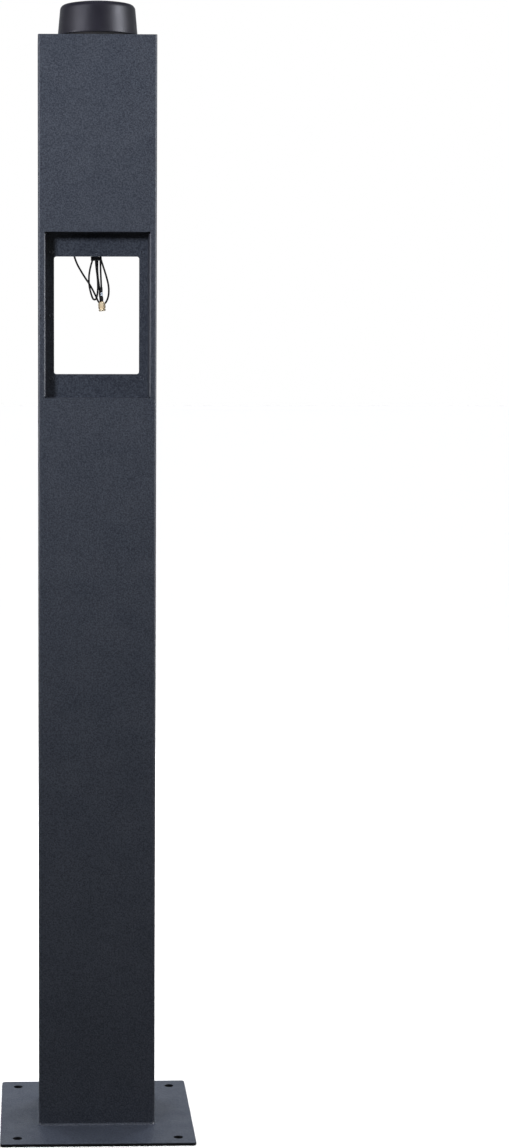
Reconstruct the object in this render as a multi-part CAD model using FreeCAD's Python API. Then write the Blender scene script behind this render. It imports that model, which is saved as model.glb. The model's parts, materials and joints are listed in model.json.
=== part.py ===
import FreeCAD
import Part
import math
import os

# A free-standing post for charging electric vehicles, folded from powder-coated sheet.
# It carries a recessed bay for a payment reader and a puck antenna on its head.
# Millimetres. +Z is up, the front faces -Y and +X is to the right of someone facing the front.
# The origin is the centre of the base plate's underside.

# ---- Base plate and post shell
plate_size = 250.0
plate_thickness = 4.0
plate_corner_radius = 4.0
anchor_inset = 22.0
anchor_hole_diameter = 12.0
cable_hole_diameter = 50.0
post_width = 150.0
post_depth = 110.0
post_height = 1400.0
sheet = 2.0
bend_radius = 3.0
weld_leg = 3.0
weld_slope = 2.4

# ---- Recess for the payment reader
recess_drop = 246.0
recess_width = 131.0
recess_height = 210.0
recess_depth = 40.0
relief_height = 2.5
relief_width = 1.0
window_width = 109.0
window_height = 150.0
window_corner_radius = 3.0
reader_stud_spacing_x = 117.0
reader_stud_spacing_z = 161.0
reader_stud_diameter = 4.0
reader_stud_length = 12.0

# ---- Puck antenna
antenna_x = 1.5
antenna_base_radius = 51.0
antenna_height = 47.0
antenna_wall = 2.5
antenna_draft = 0.09
antenna_shoulder_radius = 7.0
antenna_crown_radius = 220.0
antenna_lip = 0.8
gasket_thickness = 4.0
gasket_inset = 4.0
antenna_floor = 3.0
antenna_floor_clearance = 0.1
stem_diameter = 20.0
stem_bore_diameter = 12.0
stem_length = 30.0
stem_clearance = 0.4
stem_washer_radius = 18.0
stem_washer_thickness = 1.5
stem_nut_flats = 27.0
stem_nut_height = 7.0
potting_height = 12.0
board_radius = 40.0
board_thickness = 1.6
board_lift = 5.0
pillar_radius = 2.5
pillar_inset = 6.0
pillar_count = 3
patch_size = 25.0
patch_height = 4.0

# ---- Rear door, shown open by door_open_angle
opening_width = 122.0
opening_bottom = 656.0
opening_top_drop = 28.0
opening_corner_radius = 4.0
door_overlap = 5.0
door_gap = 2.5
door_sheet = 2.0
door_return_depth = 11.5
door_return_clearance = 3.0
door_open_angle = 90.0
gasket_width = 3.5
gasket_squeeze = 0.2
gasket_edge_inset = 0.5

# ---- Hinges
hinge_inset_x = 4.5
hinge_barrel_radius = 4.0
hinge_pin_radius = 2.5
hinge_pin_sink = 1.0
hinge_running_clearance = 0.05
hinge_knuckle_height = 24.0
hinge_washer_height = 1.0
hinge_end_inset = 70.0
hinge_leaf_lap = 12.5
hinge_leaf_thickness = 2.0
hinge_pad_width = 6.0
hinge_cap_height = 2.0
hinge_count = 3

# ---- Quarter-turn locks
lock_edge_inset = 25.0
lock_end_inset = 130.0
lock_head_radius = 11.0
lock_head_height = 4.0
lock_head_chamfer = 1.2
lock_body_radius = 9.5
lock_body_flat = 8.0
lock_body_length = 18.0
lock_hole_clearance = 0.2
lock_nut_flats = 24.0
lock_nut_height = 5.0
lock_barrel_radius = 6.0
lock_running_clearance = 0.05
lock_tang = 7.0
key_slot_width = 1.4
key_slot_length = 7.0
key_slot_depth = 6.0
cam_thickness = 3.0
cam_width = 12.0
cam_reach = 27.0
cam_screw_radius = 2.0
cam_screw_head_radius = 4.5
cam_screw_head_height = 2.5
cam_screw_length = 7.0
strike_length = 24.0
strike_clearance = 0.3
strike_inset = 1.0
strike_foot = 10.0

# ---- Gear plate and what it carries
gear_width = 116.0
gear_height = 250.0
gear_bottom = 690.0
gear_thickness = 2.0
gear_stud_inset_x = 8.0
gear_stud_inset_z = 10.0
gear_stud_diameter = 5.0
gear_spacer_length = 12.0
gear_spacer_radius = 5.0
gear_nut_flats = 8.0
gear_nut_height = 4.0
gear_stud_length = 22.0

supply_z = 880.0
supply_width = 96.0
supply_height = 82.0
supply_depth = 30.0
supply_sheet = 1.5
supply_ear = 8.0
supply_terminal_width = 12.0
supply_gap = 0.5
vent_flats = 4.2
vent_pitch = 5.6
vent_rows = 11
vent_columns = 4
supply_board_lift = 4.0
supply_pillar_inset_x = 12.0
supply_pillar_inset_z = 8.0
strip_ways = 7
strip_inset = 8.0
strip_depth = 13.0
strip_wall = 1.2
strip_floor = 4.0
strip_rib = 2.0
strip_screw_radius = 2.8
strip_screw_height = 4.0

rail_z = 765.0
rail_length = 112.0
rail_height = 35.0
rail_valley = 25.0
rail_depth = 7.5
rail_sheet = 1.0
rail_screw_spacing = 90.0
hook_clearance = 0.2
hook_thickness = 2.3
hook_toe_thickness = 1.2
hook_toe_reach = 2.0

breaker_x = -54.0
breaker_width = 36.0
breaker_height = 85.0
breaker_shoulder = 32.0
breaker_nose_height = 45.0
breaker_nose_depth = 50.0
breaker_modules = 2
breaker_well_radius = 3.2
breaker_well_depth = 8.0
breaker_screw_radius = 3.0
breaker_screw_height = 4.0
breaker_mouth_width = 7.0
breaker_mouth_height = 9.0
breaker_mouth_depth = 9.0
breaker_mouth_level = 10.0
toggle_hub_radius = 6.0
toggle_hub_proud = 1.0
toggle_width = 26.0
toggle_reach = 15.0
toggle_thickness = 4.0
toggle_trunnion_radius = 2.0
toggle_trunnion_length = 1.5
toggle_side_clearance = 0.4
toggle_end_clearance = 0.3
toggle_hub_clearance = 0.6
toggle_mouth = 20.0
toggle_running_clearance = 0.05
toggle_rest_angle = -40.0
terminal_count = 4
terminal_width = 6.0
terminal_height = 48.0
terminal_depth = 40.0
terminal_wall = 1.2
terminal_well_radius = 2.0
terminal_well_depth = 7.0
terminal_well_inset = 9.0
terminal_mouth_level = 12.0
terminal_mouth_height = 6.0
terminal_mouth_depth = 8.0
terminal_slope_depth = 12.0
terminal_slope_height = 8.0
end_stop_width = 7.0
end_stop_height = 42.0
end_stop_depth = 24.0
end_stop_well_radius = 2.2
end_stop_well_depth = 6.0
gear_row_gap = 0.3

clamp_x = 42.0
clamp_z = 712.0
clamp_bore_radius = 7.5
clamp_wall = 2.5
clamp_width = 12.0
clamp_ear = 9.0

earth_z = 676.0
earth_y = 22.0
earth_stud_radius = 4.0
earth_stud_length = 22.0
earth_nut_flats = 13.0
earth_nut_height = 6.5
earth_washer_radius = 8.5
earth_washer_thickness = 1.6
earth_lug_gap = 3.2
door_earth_inset = 30.0
door_earth_radius = 3.0
door_earth_length = 12.0
door_earth_nut_flats = 10.0
door_earth_nut_height = 5.0

screw_radius = 2.0
screw_head_radius = 3.6
screw_head_height = 2.4
screw_head_round = 1.0
screw_length = 8.0

# ---- Antenna leads
lead_diameter = 2.4
tie_z = 1126.0
tie_height = 5.0
tie_width = 13.0
tie_depth = 7.0
tie_centre_x = 0.8
tie_centre_y = 8.0
tie_corner_radius = 2.8
coupling_flats = 7.2
coupling_height = 10.5
coupling_bore = 3.1
coupling_setback = 1.5
coupling_shoulder = 0.5
plug_body_radius = 2.4
plug_body_length = 7.0
plug_clearance = 0.05
contact_pin_radius = 0.5
contact_pin_length = 3.0
boot_radius = 1.7
sleeve_radius = 1.5
marker_radius = 1.4
marker_start = 7.0
marker_end = 12.0
front_plug_start = 19.0
rear_plug_start = 13.5
arc_share = 0.45

# The long lead hangs from the stem, bows out to the left, loops under its own plug, and is tied
# up twice on itself before it ends in the front plug.
long_lead_route = [
    (-2.0, 0.0, 1378.0), (-2.0, 0.0, 1340.0), (-7.0, 2.6, 1290.0), (-17.0, 6.0, 1238.0),
    (-28.0, 8.0, 1190.0), (-32.5, 8.5, 1156.0), (-28.5, 8.5, 1126.0), (-17.0, 9.5, 1105.5),
    (-7.0, 13.0, 1091.5), (0.0, 18.5, 1078.0), (4.0, 21.5, 1069.0), (11.5, 21.5, 1067.0),
    (16.5, 19.5, 1077.0), (16.8, 16.0, 1090.0), (13.5, 12.5, 1103.0), (9.2, 10.4, 1116.0),
    (5.2, 9.8, 1128.0), (8.0, 9.8, 1143.0), (7.0, 9.6, 1157.0), (0.0, 9.4, 1164.0),
    (-7.0, 9.0, 1157.0), (-7.5, 8.6, 1143.0), (-3.4, 8.4, 1128.0), (-7.4, 8.0, 1116.0),
    (-9.6, 7.6, 1103.0), (-9.0, 7.4, 1090.5), (-6.5, 7.2, 1080.5), (-3.9, 7.0, 1073.4),
    (0.0, 6.9, 1073.6), (1.7, 6.7, 1080.5), (2.3, 6.6, 1091.0), (1.6, 6.4, 1103.0),
    (-0.2, 6.2, 1116.0), (-0.8, 6.0, 1128.0), (-3.6, 5.8, 1138.0), (-1.6, 5.6, 1147.0),
    (4.4, 5.4, 1149.0), (8.8, 5.2, 1142.0), (5.2, 5.2, 1128.0), (5.6, 5.2, 1112.0),
    (6.05, 5.0, 1100.0), (6.6, 5.0, 1090.0),
]
long_lead_plug_direction = (0.055, 0.0, -1.0)

# The short lead hangs straight to the tie and ends in the rear plug.
short_lead_route = [
    (4.5, 0.0, 1378.0), (4.5, 0.0, 1342.0), (5.4, 3.2, 1292.0), (4.0, 8.6, 1243.0),
    (2.0, 12.4, 1200.0), (1.2, 13.4, 1164.0), (1.6, 11.9, 1142.0), (1.9, 9.9, 1126.0),
    (1.6, 10.4, 1112.0), (2.5, 11.8, 1101.0), (4.13, 13.4, 1091.0), (4.9, 13.4, 1084.0),
]
short_lead_plug_direction = (0.11, 0.0, -1.0)

# ---- Working allowances
overcut = 1.0
level_tolerance = 0.01
rim_tolerance = 0.1

# ---- Levels and faces that several pieces share
plate_top = plate_thickness
post_top = plate_top + post_height
front_face = -post_depth / 2
rear_face = post_depth / 2
inner_front = front_face + sheet
inner_rear = rear_face - sheet
inner_side = post_width / 2 - sheet
inner_radius = bend_radius - sheet
recess_top = post_top - recess_drop
recess_bottom = recess_top - recess_height
recess_centre_z = (recess_top + recess_bottom) / 2
recess_back = front_face + recess_depth
recess_half = recess_width / 2
opening_half = opening_width / 2
opening_top = post_top - opening_top_drop
door_inner = rear_face + door_gap
door_outer = door_inner + door_sheet
door_half = opening_half + door_overlap
door_bottom = opening_bottom - door_overlap
door_top = opening_top + door_overlap
return_half = opening_half - door_return_clearance
return_bottom = opening_bottom + door_return_clearance
return_top = opening_top - door_return_clearance
hinge_x = -post_width / 2 + hinge_inset_x
hinge_y = door_outer + hinge_pin_radius - hinge_pin_sink
lock_x = door_half - lock_edge_inset
lock_levels = {"lower": door_bottom + lock_end_inset, "upper": door_top - lock_end_inset}
cam_face = door_outer - lock_body_length
stem_bottom = post_top + gasket_thickness - stem_length
gear_back = inner_front + gear_spacer_length
gear_face = gear_back + gear_thickness
rail_face = gear_face + rail_depth

vector = FreeCAD.Vector
axis_x = vector(1, 0, 0)
axis_y = vector(0, 1, 0)
axis_z = vector(0, 0, 1)
origin = vector(0, 0, 0)


def block(low, high):
    """A box between two opposite corners."""
    size = [b - a for a, b in zip(low, high)]
    return Part.makeBox(size[0], size[1], size[2], vector(*low))


def rod(radius, length, start, direction):
    """A plain cylinder from a start point along a direction."""
    return Part.makeCylinder(radius, length, vector(*start), direction)


def ring(outer_radius, bore_radius, length, start, direction):
    """A tube with a round bore."""
    return rod(outer_radius, length, start, direction).cut(rod(bore_radius, length, start, direction))


def hexagon(flats, length, bore_radius, start, direction):
    """A hexagonal nut with a plain bore, flats square to the local x axis."""
    corner = flats / math.sqrt(3)
    angles = [math.radians(30 + 60 * i) for i in range(7)]
    outline = Part.makePolygon([vector(corner * math.cos(a), corner * math.sin(a), 0) for a in angles])
    nut = Part.Face(outline).extrude(axis_z * length)
    if bore_radius:
        nut = nut.cut(Part.makeCylinder(bore_radius, length))
    return placed(nut, start, direction)


def placed(shape, start, direction):
    """Move a shape built along +Z from the origin to a start point, along a direction."""
    moved = shape.copy()
    moved.Placement = FreeCAD.Placement(vector(*start), FreeCAD.Rotation(axis_z, vector(direction)))
    return moved


def rounded_prism(width, depth, radius, bottom, height):
    """An upright prism on a rectangle with rounded corners, centred on the Z axis."""
    prism = block((-width / 2, -depth / 2, bottom), (width / 2, depth / 2, bottom + height))
    upright = [edge for edge in prism.Edges if abs(edge.tangentAt(edge.FirstParameter).z) > 0.9]
    return prism.makeFillet(radius, upright)


def rounded_window(width, height, radius, centre_z, y_low, y_high):
    """A cutter for a rounded rectangular hole through a panel that faces along Y."""
    cutter = block((-width / 2, y_low, centre_z - height / 2), (width / 2, y_high, centre_z + height / 2))
    across = [edge for edge in cutter.Edges if abs(edge.tangentAt(edge.FirstParameter).y) > 0.9]
    return cutter.makeFillet(radius, across)


def profile_face(steps):
    """A closed face from ("line", point) and ("arc", through, point) steps; the first is the start."""
    edges = []
    here = vector(*steps[0])
    for step in steps[1:]:
        there = vector(*step[-1])
        if step[0] == "arc":
            edges.append(Part.Arc(here, vector(*step[1]), there).toShape())
        else:
            edges.append(Part.LineSegment(here, there).toShape())
        here = there
    return Part.Face(Part.Wire(edges))


def arc_middle(centre, radius, degrees):
    """A point on an arc in a plane, at an angle from the first axis."""
    angle = math.radians(degrees)
    return centre[0] + radius * math.cos(angle), centre[1] + radius * math.sin(angle)


def swung(shape):
    """A piece of the closed door, turned about the hinge pins to where the open door stands."""
    turned = shape.copy()
    turned.rotate(vector(hinge_x, hinge_y, 0), axis_z, door_open_angle)
    return turned


def export(name, shapes):
    """Write one node: a single solid, or a group of separate solids."""
    group = shapes if isinstance(shapes, list) else [shapes]
    whole = group[0] if len(group) == 1 else Part.makeCompound(group)
    whole.exportStep("parts/" + name + ".step")


def centred_pair(half):
    return (-half, half)


# ---- Base and post

def base_plate():
    plate = rounded_prism(plate_size, plate_size, plate_corner_radius, 0, plate_thickness)
    reach = plate_size / 2 - anchor_inset
    for x in centred_pair(reach):
        for y in centred_pair(reach):
            plate = plate.cut(rod(anchor_hole_diameter / 2, plate_thickness, (x, y, 0), axis_z))
    return plate.cut(rod(cable_hole_diameter / 2, plate_thickness, (0, 0, 0), axis_z))


def base_weld():
    """The fillet bead round the foot: a sloping collar with the post's outline cut from it."""
    collar = rounded_prism(post_width + 2 * weld_leg, post_depth + 2 * weld_leg,
                           bend_radius + weld_leg, plate_top, weld_leg)
    collar_top = plate_top + weld_leg - level_tolerance
    top_edges = [edge for edge in collar.Edges if edge.BoundBox.ZMin > collar_top]
    collar = collar.makeChamfer(weld_slope, top_edges)
    return collar.cut(rounded_prism(post_width, post_depth, bend_radius, plate_top, weld_leg))


def recess_side(side):
    """The front sheet bent inwards beside the recess, from its flat to the back panel."""
    flat = recess_half + bend_radius
    centre = (flat, front_face + bend_radius)
    outer = arc_middle(centre, bend_radius, 225)
    inner = arc_middle(centre, inner_radius, 225)
    face = profile_face([
        (flat, front_face, 0),
        ("arc", (outer[0], outer[1], 0), (recess_half, centre[1], 0)),
        ("line", (recess_half, recess_back, 0)),
        ("line", (recess_half + sheet, recess_back, 0)),
        ("line", (recess_half + sheet, centre[1], 0)),
        ("arc", (inner[0], inner[1], 0), (flat, inner_front, 0)),
        ("line", (flat, front_face, 0)),
    ])
    wall = face.extrude(axis_z * (recess_height - 2 * relief_height))
    wall.translate(vector(0, 0, recess_bottom + relief_height))
    return wall if side > 0 else wall.mirror(origin, axis_x)


def post_shell():
    """The folded post: a closed tube with the reader recess in front and the service opening behind."""
    shell = rounded_prism(post_width, post_depth, bend_radius, plate_top, post_height)
    shell = shell.cut(rounded_prism(post_width - 2 * sheet, post_depth - 2 * sheet, inner_radius,
                                    plate_top, post_height))
    bend_start = recess_half + bend_radius
    cut_low = front_face - overcut
    cut_high = inner_front + overcut
    shell = shell.cut(block((-bend_start, cut_low, recess_bottom + relief_height),
                            (bend_start, cut_high, recess_top - relief_height)))
    notch = recess_half + relief_width
    shell = shell.cut(block((-notch, cut_low, recess_bottom), (notch, cut_high, recess_top)))
    opening_height = opening_top - opening_bottom
    shell = shell.cut(rounded_window(opening_width, opening_height, opening_corner_radius,
                                     opening_bottom + opening_height / 2,
                                     inner_rear - overcut, rear_face + overcut))
    for side in (-1, 1):
        shell = shell.fuse(recess_side(side))
    return shell.removeSplitter()


def top_plate():
    """The head's lid, welded flush inside the shell, with the antenna's hole."""
    lid = rounded_prism(2 * inner_side, post_depth - 2 * sheet, inner_radius, post_top - sheet, sheet)
    hole = stem_diameter / 2 + stem_clearance
    return lid.cut(rod(hole, sheet, (antenna_x, 0, post_top - sheet), axis_z))


def recess_tray():
    """One folded sheet: the recess's ceiling, back panel with its window, and floor."""
    back = recess_back
    rear = back + sheet
    inner_top = (back - inner_radius, recess_top - inner_radius)
    inner_low = (back - inner_radius, recess_bottom + inner_radius)
    bends = {
        "inner_top": arc_middle(inner_top, inner_radius, 45),
        "inner_low": arc_middle(inner_low, inner_radius, -45),
        "outer_top": arc_middle(inner_top, bend_radius, 45),
        "outer_low": arc_middle(inner_low, bend_radius, -45),
    }
    start = (0, inner_front, recess_top)
    face = profile_face([
        start,
        ("line", (0, inner_top[0], recess_top)),
        ("arc", (0,) + bends["inner_top"], (0, back, inner_top[1])),
        ("line", (0, back, inner_low[1])),
        ("arc", (0,) + bends["inner_low"], (0, inner_low[0], recess_bottom)),
        ("line", (0, inner_front, recess_bottom)),
        ("line", (0, inner_front, recess_bottom - sheet)),
        ("line", (0, inner_low[0], recess_bottom - sheet)),
        ("arc", (0,) + bends["outer_low"], (0, rear, inner_low[1])),
        ("line", (0, rear, inner_top[1])),
        ("arc", (0,) + bends["outer_top"], (0, inner_top[0], recess_top + sheet)),
        ("line", (0, inner_front, recess_top + sheet)),
        ("line", start),
    ])
    half = recess_half + sheet
    tray = face.extrude(axis_x * (2 * half))
    tray.translate(vector(-half, 0, 0))
    return tray.cut(rounded_window(window_width, window_height, window_corner_radius,
                                   recess_centre_z, back - overcut, rear + overcut))


def reader_studs():
    """Eight weld studs on the rear of the back panel: corners and mid-sides of a rectangle."""
    half_x = reader_stud_spacing_x / 2
    half_z = reader_stud_spacing_z / 2
    places = [(x, z) for x in (-half_x, 0, half_x) for z in (-half_z, 0, half_z) if x or z]
    return [rod(reader_stud_diameter / 2, reader_stud_length,
                (x, recess_back + sheet, recess_centre_z + z), axis_y) for x, z in places]


# ---- Antenna

def radome_solid(inset):
    """The puck's outside, or its hollow when it is inset by the wall: a drafted side, a rounded
    shoulder and a shallow spherical crown, turned about the antenna's axis."""
    bottom = post_top + gasket_thickness
    apex = post_top + antenna_height - inset
    crown = antenna_crown_radius - inset
    side = antenna_base_radius - inset
    side_top = side - antenna_draft * (apex - bottom)
    sag = side_top ** 2 / (2 * crown)
    shoulder = (side - antenna_draft * (apex - sag - bottom), 0, apex - sag)
    middle = (shoulder[0] / 2, 0, apex - shoulder[0] ** 2 / (8 * crown))
    outline = profile_face([
        (0, 0, bottom),
        ("line", (side, 0, bottom)),
        ("line", shoulder),
        ("arc", middle, (0, 0, apex)),
        ("line", (0, 0, bottom)),
    ])
    puck = outline.revolve(origin, axis_z, 360)
    rim = [edge for edge in puck.Edges if len(edge.Vertexes) == 1
           and abs(edge.BoundBox.ZMin - shoulder[2]) < rim_tolerance
           and abs(edge.BoundBox.ZMax - shoulder[2]) < rim_tolerance]
    puck = puck.makeFillet(antenna_shoulder_radius - inset, rim)
    puck.translate(vector(antenna_x, 0, 0))
    return puck


def antenna_radome():
    bottom = post_top + gasket_thickness
    cover = radome_solid(0)
    low_rim = [edge for edge in cover.Edges
               if edge.BoundBox.ZMax < bottom + level_tolerance and edge.Length > antenna_base_radius]
    return cover.makeChamfer(antenna_lip, low_rim).cut(radome_solid(antenna_wall))


def antenna_base():
    """The floor that closes the radome, with its hollow threaded stem."""
    bottom = post_top + gasket_thickness
    taper = antenna_draft * antenna_floor
    floor_radius = antenna_base_radius - antenna_wall - taper - antenna_floor_clearance
    floor = rod(floor_radius, antenna_floor, (antenna_x, 0, bottom), axis_z)
    stem = rod(stem_diameter / 2, stem_length, (antenna_x, 0, stem_bottom), axis_z)
    bore = rod(stem_bore_diameter / 2, stem_length + antenna_floor, (antenna_x, 0, stem_bottom), axis_z)
    return floor.fuse(stem).cut(bore).removeSplitter()


def antenna_board():
    """The round circuit board on three pillars above the floor."""
    level = post_top + gasket_thickness + antenna_floor
    board = rod(board_radius, board_thickness, (antenna_x, 0, level + board_lift), axis_z)
    for i in range(pillar_count):
        x, y = arc_middle((antenna_x, 0), board_radius - pillar_inset, 90 + 360 / pillar_count * i)
        board = board.fuse(rod(pillar_radius, board_lift, (x, y, level), axis_z))
    return board.removeSplitter()


def antenna_patch():
    """The square ceramic patch on the board."""
    level = post_top + gasket_thickness + antenna_floor + board_lift + board_thickness
    half = patch_size / 2
    return block((antenna_x - half, -half, level), (antenna_x + half, half, level + patch_height))


def antenna_gasket():
    return ring(antenna_base_radius - gasket_inset, stem_diameter / 2, gasket_thickness,
                (antenna_x, 0, post_top), axis_z)


def stem_washer():
    return ring(stem_washer_radius, stem_diameter / 2, stem_washer_thickness,
                (antenna_x, 0, post_top - sheet - stem_washer_thickness), axis_z)


def stem_nut():
    top = post_top - sheet - stem_washer_thickness
    return hexagon(stem_nut_flats, stem_nut_height, stem_diameter / 2,
                   (antenna_x, 0, top - stem_nut_height), axis_z)


def stem_potting():
    """The resin plug that the leads leave the stem through."""
    return rod(stem_bore_diameter / 2, potting_height, (antenna_x, 0, stem_bottom), axis_z)


# ---- Rear door, drawn closed and then swung open

def rear_door():
    skin = rounded_window(2 * door_half, door_top - door_bottom, opening_corner_radius,
                          (door_top + door_bottom) / 2, door_inner, door_outer)
    return_face = door_inner - door_return_depth
    frame = block((-return_half, return_face, return_bottom), (return_half, door_inner, return_top))
    hollow = block((-return_half + door_sheet, return_face, return_bottom + door_sheet),
                   (return_half - door_sheet, door_inner, return_top - door_sheet))
    door = skin.fuse(frame.cut(hollow)).removeSplitter()
    for level in lock_levels.values():
        door = door.cut(lock_section(lock_body_radius + lock_hole_clearance,
                                     lock_body_flat + lock_hole_clearance, level, door_inner, door_outer))
    return swung(door)


def door_gasket():
    """A foam strip round the door's inner face, just clear of the post when the door shuts."""
    seal_face = rear_face + gasket_squeeze
    half = door_half - gasket_edge_inset
    low = door_bottom + gasket_edge_inset
    high = door_top - gasket_edge_inset
    outer = block((-half, seal_face, low), (half, door_inner, high))
    inner = block((-half + gasket_width, seal_face, low + gasket_width),
                  (half - gasket_width, door_inner, high - gasket_width))
    return swung(outer.cut(inner))


def hinge_levels():
    """The underside of each hinge's fixed knuckle."""
    low = door_bottom + hinge_end_inset
    high = door_top - hinge_end_inset - 2 * hinge_knuckle_height
    return [low + (high - low) * i / (hinge_count - 1) for i in range(hinge_count)]


def hinge_fixed_knuckles():
    """Lower knuckles, each with a pad welded to the post's rear face."""
    knuckles = []
    for level in hinge_levels():
        top = level + hinge_knuckle_height
        pad = block((hinge_x - hinge_pad_width / 2, rear_face, level),
                    (hinge_x + hinge_pad_width / 2, hinge_y, top))
        barrel = rod(hinge_barrel_radius, hinge_knuckle_height, (hinge_x, hinge_y, level), axis_z)
        bore = rod(hinge_pin_radius, hinge_knuckle_height, (hinge_x, hinge_y, level), axis_z)
        knuckles.append(barrel.fuse(pad).removeSplitter().cut(bore))
    return knuckles


def hinge_pins():
    length = 2 * hinge_knuckle_height + hinge_washer_height - hinge_cap_height
    return [rod(hinge_pin_radius, length, (hinge_x, hinge_y, level), axis_z) for level in hinge_levels()]


def hinge_washers():
    return [ring(hinge_barrel_radius, hinge_pin_radius + hinge_running_clearance, hinge_washer_height,
                 (hinge_x, hinge_y, level + hinge_knuckle_height), axis_z) for level in hinge_levels()]


def hinge_door_leaves():
    """Upper knuckles, each with a leaf that lies on the door's outer face."""
    leaves = []
    for level in hinge_levels():
        bottom = level + hinge_knuckle_height + hinge_washer_height
        top = bottom + hinge_knuckle_height
        leaf = block((hinge_x, door_outer, bottom),
                     (hinge_leaf_lap - door_half, door_outer + hinge_leaf_thickness, top))
        barrel = rod(hinge_barrel_radius, hinge_knuckle_height, (hinge_x, hinge_y, bottom), axis_z)
        bore = rod(hinge_pin_radius + hinge_running_clearance, hinge_knuckle_height - hinge_cap_height,
                   (hinge_x, hinge_y, bottom), axis_z)
        leaves.append(swung(barrel.fuse(leaf).removeSplitter().cut(bore)))
    return leaves


# ---- Locks

def lock_section(radius, flat, level, y_low, y_high):
    """A round bar along Y with two flats, which stop it from turning in its hole."""
    bar = rod(radius, y_high - y_low, (lock_x, y_low, level), axis_y)
    return bar.common(block((lock_x - flat, y_low, level - radius), (lock_x + flat, y_high, level + radius)))


def lock_housings():
    housings = []
    bore = lock_barrel_radius + lock_running_clearance
    for level in lock_levels.values():
        head = rod(lock_head_radius, lock_head_height, (lock_x, door_outer, level), axis_y)
        rim = [edge for edge in head.Edges
               if edge.BoundBox.YMin > door_outer + lock_head_height - level_tolerance]
        head = head.makeChamfer(lock_head_chamfer, rim)
        body = lock_section(lock_body_radius, lock_body_flat, level, cam_face, door_outer)
        housing = head.fuse(body).removeSplitter()
        depth = lock_body_length + lock_head_height
        housings.append(swung(housing.cut(rod(bore, depth, (lock_x, cam_face, level), axis_y))))
    return housings


def lock_nuts():
    """Panel nuts against the door's inner face."""
    nuts = []
    for level in lock_levels.values():
        start = door_inner - lock_nut_height
        nut = hexagon(lock_nut_flats, lock_nut_height, 0, (lock_x, start, level), axis_y)
        thread = lock_section(lock_body_radius, lock_body_flat, level, start, door_inner)
        nuts.append(swung(nut.cut(thread)))
    return nuts


def lock_barrel(level):
    """The cylinder that the key turns, with its square tang for the cam."""
    depth = lock_body_length + lock_head_height
    barrel = rod(lock_barrel_radius, depth, (lock_x, cam_face, level), axis_y)
    half = lock_tang / 2
    tang = block((lock_x - half, cam_face - cam_thickness, level - half),
                 (lock_x + half, cam_face, level + half))
    front = door_outer + lock_head_height
    slot = block((lock_x - key_slot_width / 2, front - key_slot_depth, level - key_slot_length / 2),
                 (lock_x + key_slot_width / 2, front, level + key_slot_length / 2))
    bore = rod(cam_screw_radius, cam_screw_length, (lock_x, cam_face - cam_thickness, level), axis_y)
    return swung(barrel.fuse(tang).removeSplitter().cut(slot).cut(bore))


def lock_cam(level):
    """The latch plate, hanging down in its unlocked place."""
    half = lock_tang / 2
    y_low = cam_face - cam_thickness
    plate = block((lock_x - cam_width / 2, y_low, level - cam_reach),
                  (lock_x + cam_width / 2, cam_face, level))
    plate = plate.fuse(rod(cam_width / 2, cam_thickness, (lock_x, y_low, level), axis_y)).removeSplitter()
    hole = block((lock_x - half, y_low, level - half), (lock_x + half, cam_face, level + half))
    return swung(plate.cut(hole))


def cam_screw(level):
    y_low = cam_face - cam_thickness
    shank = rod(cam_screw_radius, cam_screw_length, (lock_x, y_low, level), axis_y)
    head = rod(cam_screw_head_radius, cam_screw_head_height,
               (lock_x, y_low - cam_screw_head_height, level), axis_y)
    return swung(shank.fuse(head).removeSplitter())


def lock_strikes():
    """Angles welded behind the post's rear face, which the turned cams draw against."""
    strikes = []
    x_low = opening_half + strike_inset
    edge = cam_face + strike_clearance
    for level in lock_levels.values():
        low = level - strike_length / 2
        high = level + strike_length / 2
        foot = block((x_low, inner_rear - sheet, low), (x_low + strike_foot, inner_rear, high))
        leg = block((x_low, edge, low), (x_low + sheet, inner_rear, high))
        strikes.append(foot.fuse(leg).removeSplitter())
    return strikes


# ---- Gear plate

def gear_stud_places():
    half = gear_width / 2 - gear_stud_inset_x
    levels = (gear_bottom + gear_stud_inset_z, gear_bottom + gear_height - gear_stud_inset_z)
    return [(x, z) for x in centred_pair(half) for z in levels]


def supply_screw_places():
    x = supply_width / 2 + supply_ear / 2
    return [(side, supply_z + up) for side in centred_pair(x) for up in centred_pair(supply_height / 3)]


def rail_screw_places():
    return [(x, rail_z) for x in centred_pair(rail_screw_spacing / 2)]


def clamp_screw_places():
    reach = clamp_bore_radius + clamp_wall + clamp_ear / 2
    return [(clamp_x + side, clamp_z) for side in centred_pair(reach)]


def gear_plate():
    half = gear_width / 2
    plate = block((-half, gear_back, gear_bottom), (half, gear_face, gear_bottom + gear_height))
    for x, z in gear_stud_places():
        plate = plate.cut(rod(gear_stud_diameter / 2, gear_thickness, (x, gear_back, z), axis_y))
    for x, z in supply_screw_places() + rail_screw_places() + clamp_screw_places():
        plate = plate.cut(rod(screw_radius, gear_thickness, (x, gear_back, z), axis_y))
    return plate


def gear_studs():
    return [rod(gear_stud_diameter / 2, gear_stud_length, (x, inner_front, z), axis_y)
            for x, z in gear_stud_places()]


def gear_spacers():
    return [ring(gear_spacer_radius, gear_stud_diameter / 2, gear_spacer_length, (x, inner_front, z), axis_y)
            for x, z in gear_stud_places()]


def gear_nuts():
    return [hexagon(gear_nut_flats, gear_nut_height, gear_stud_diameter / 2, (x, gear_face, z), axis_y)
            for x, z in gear_stud_places()]


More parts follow.
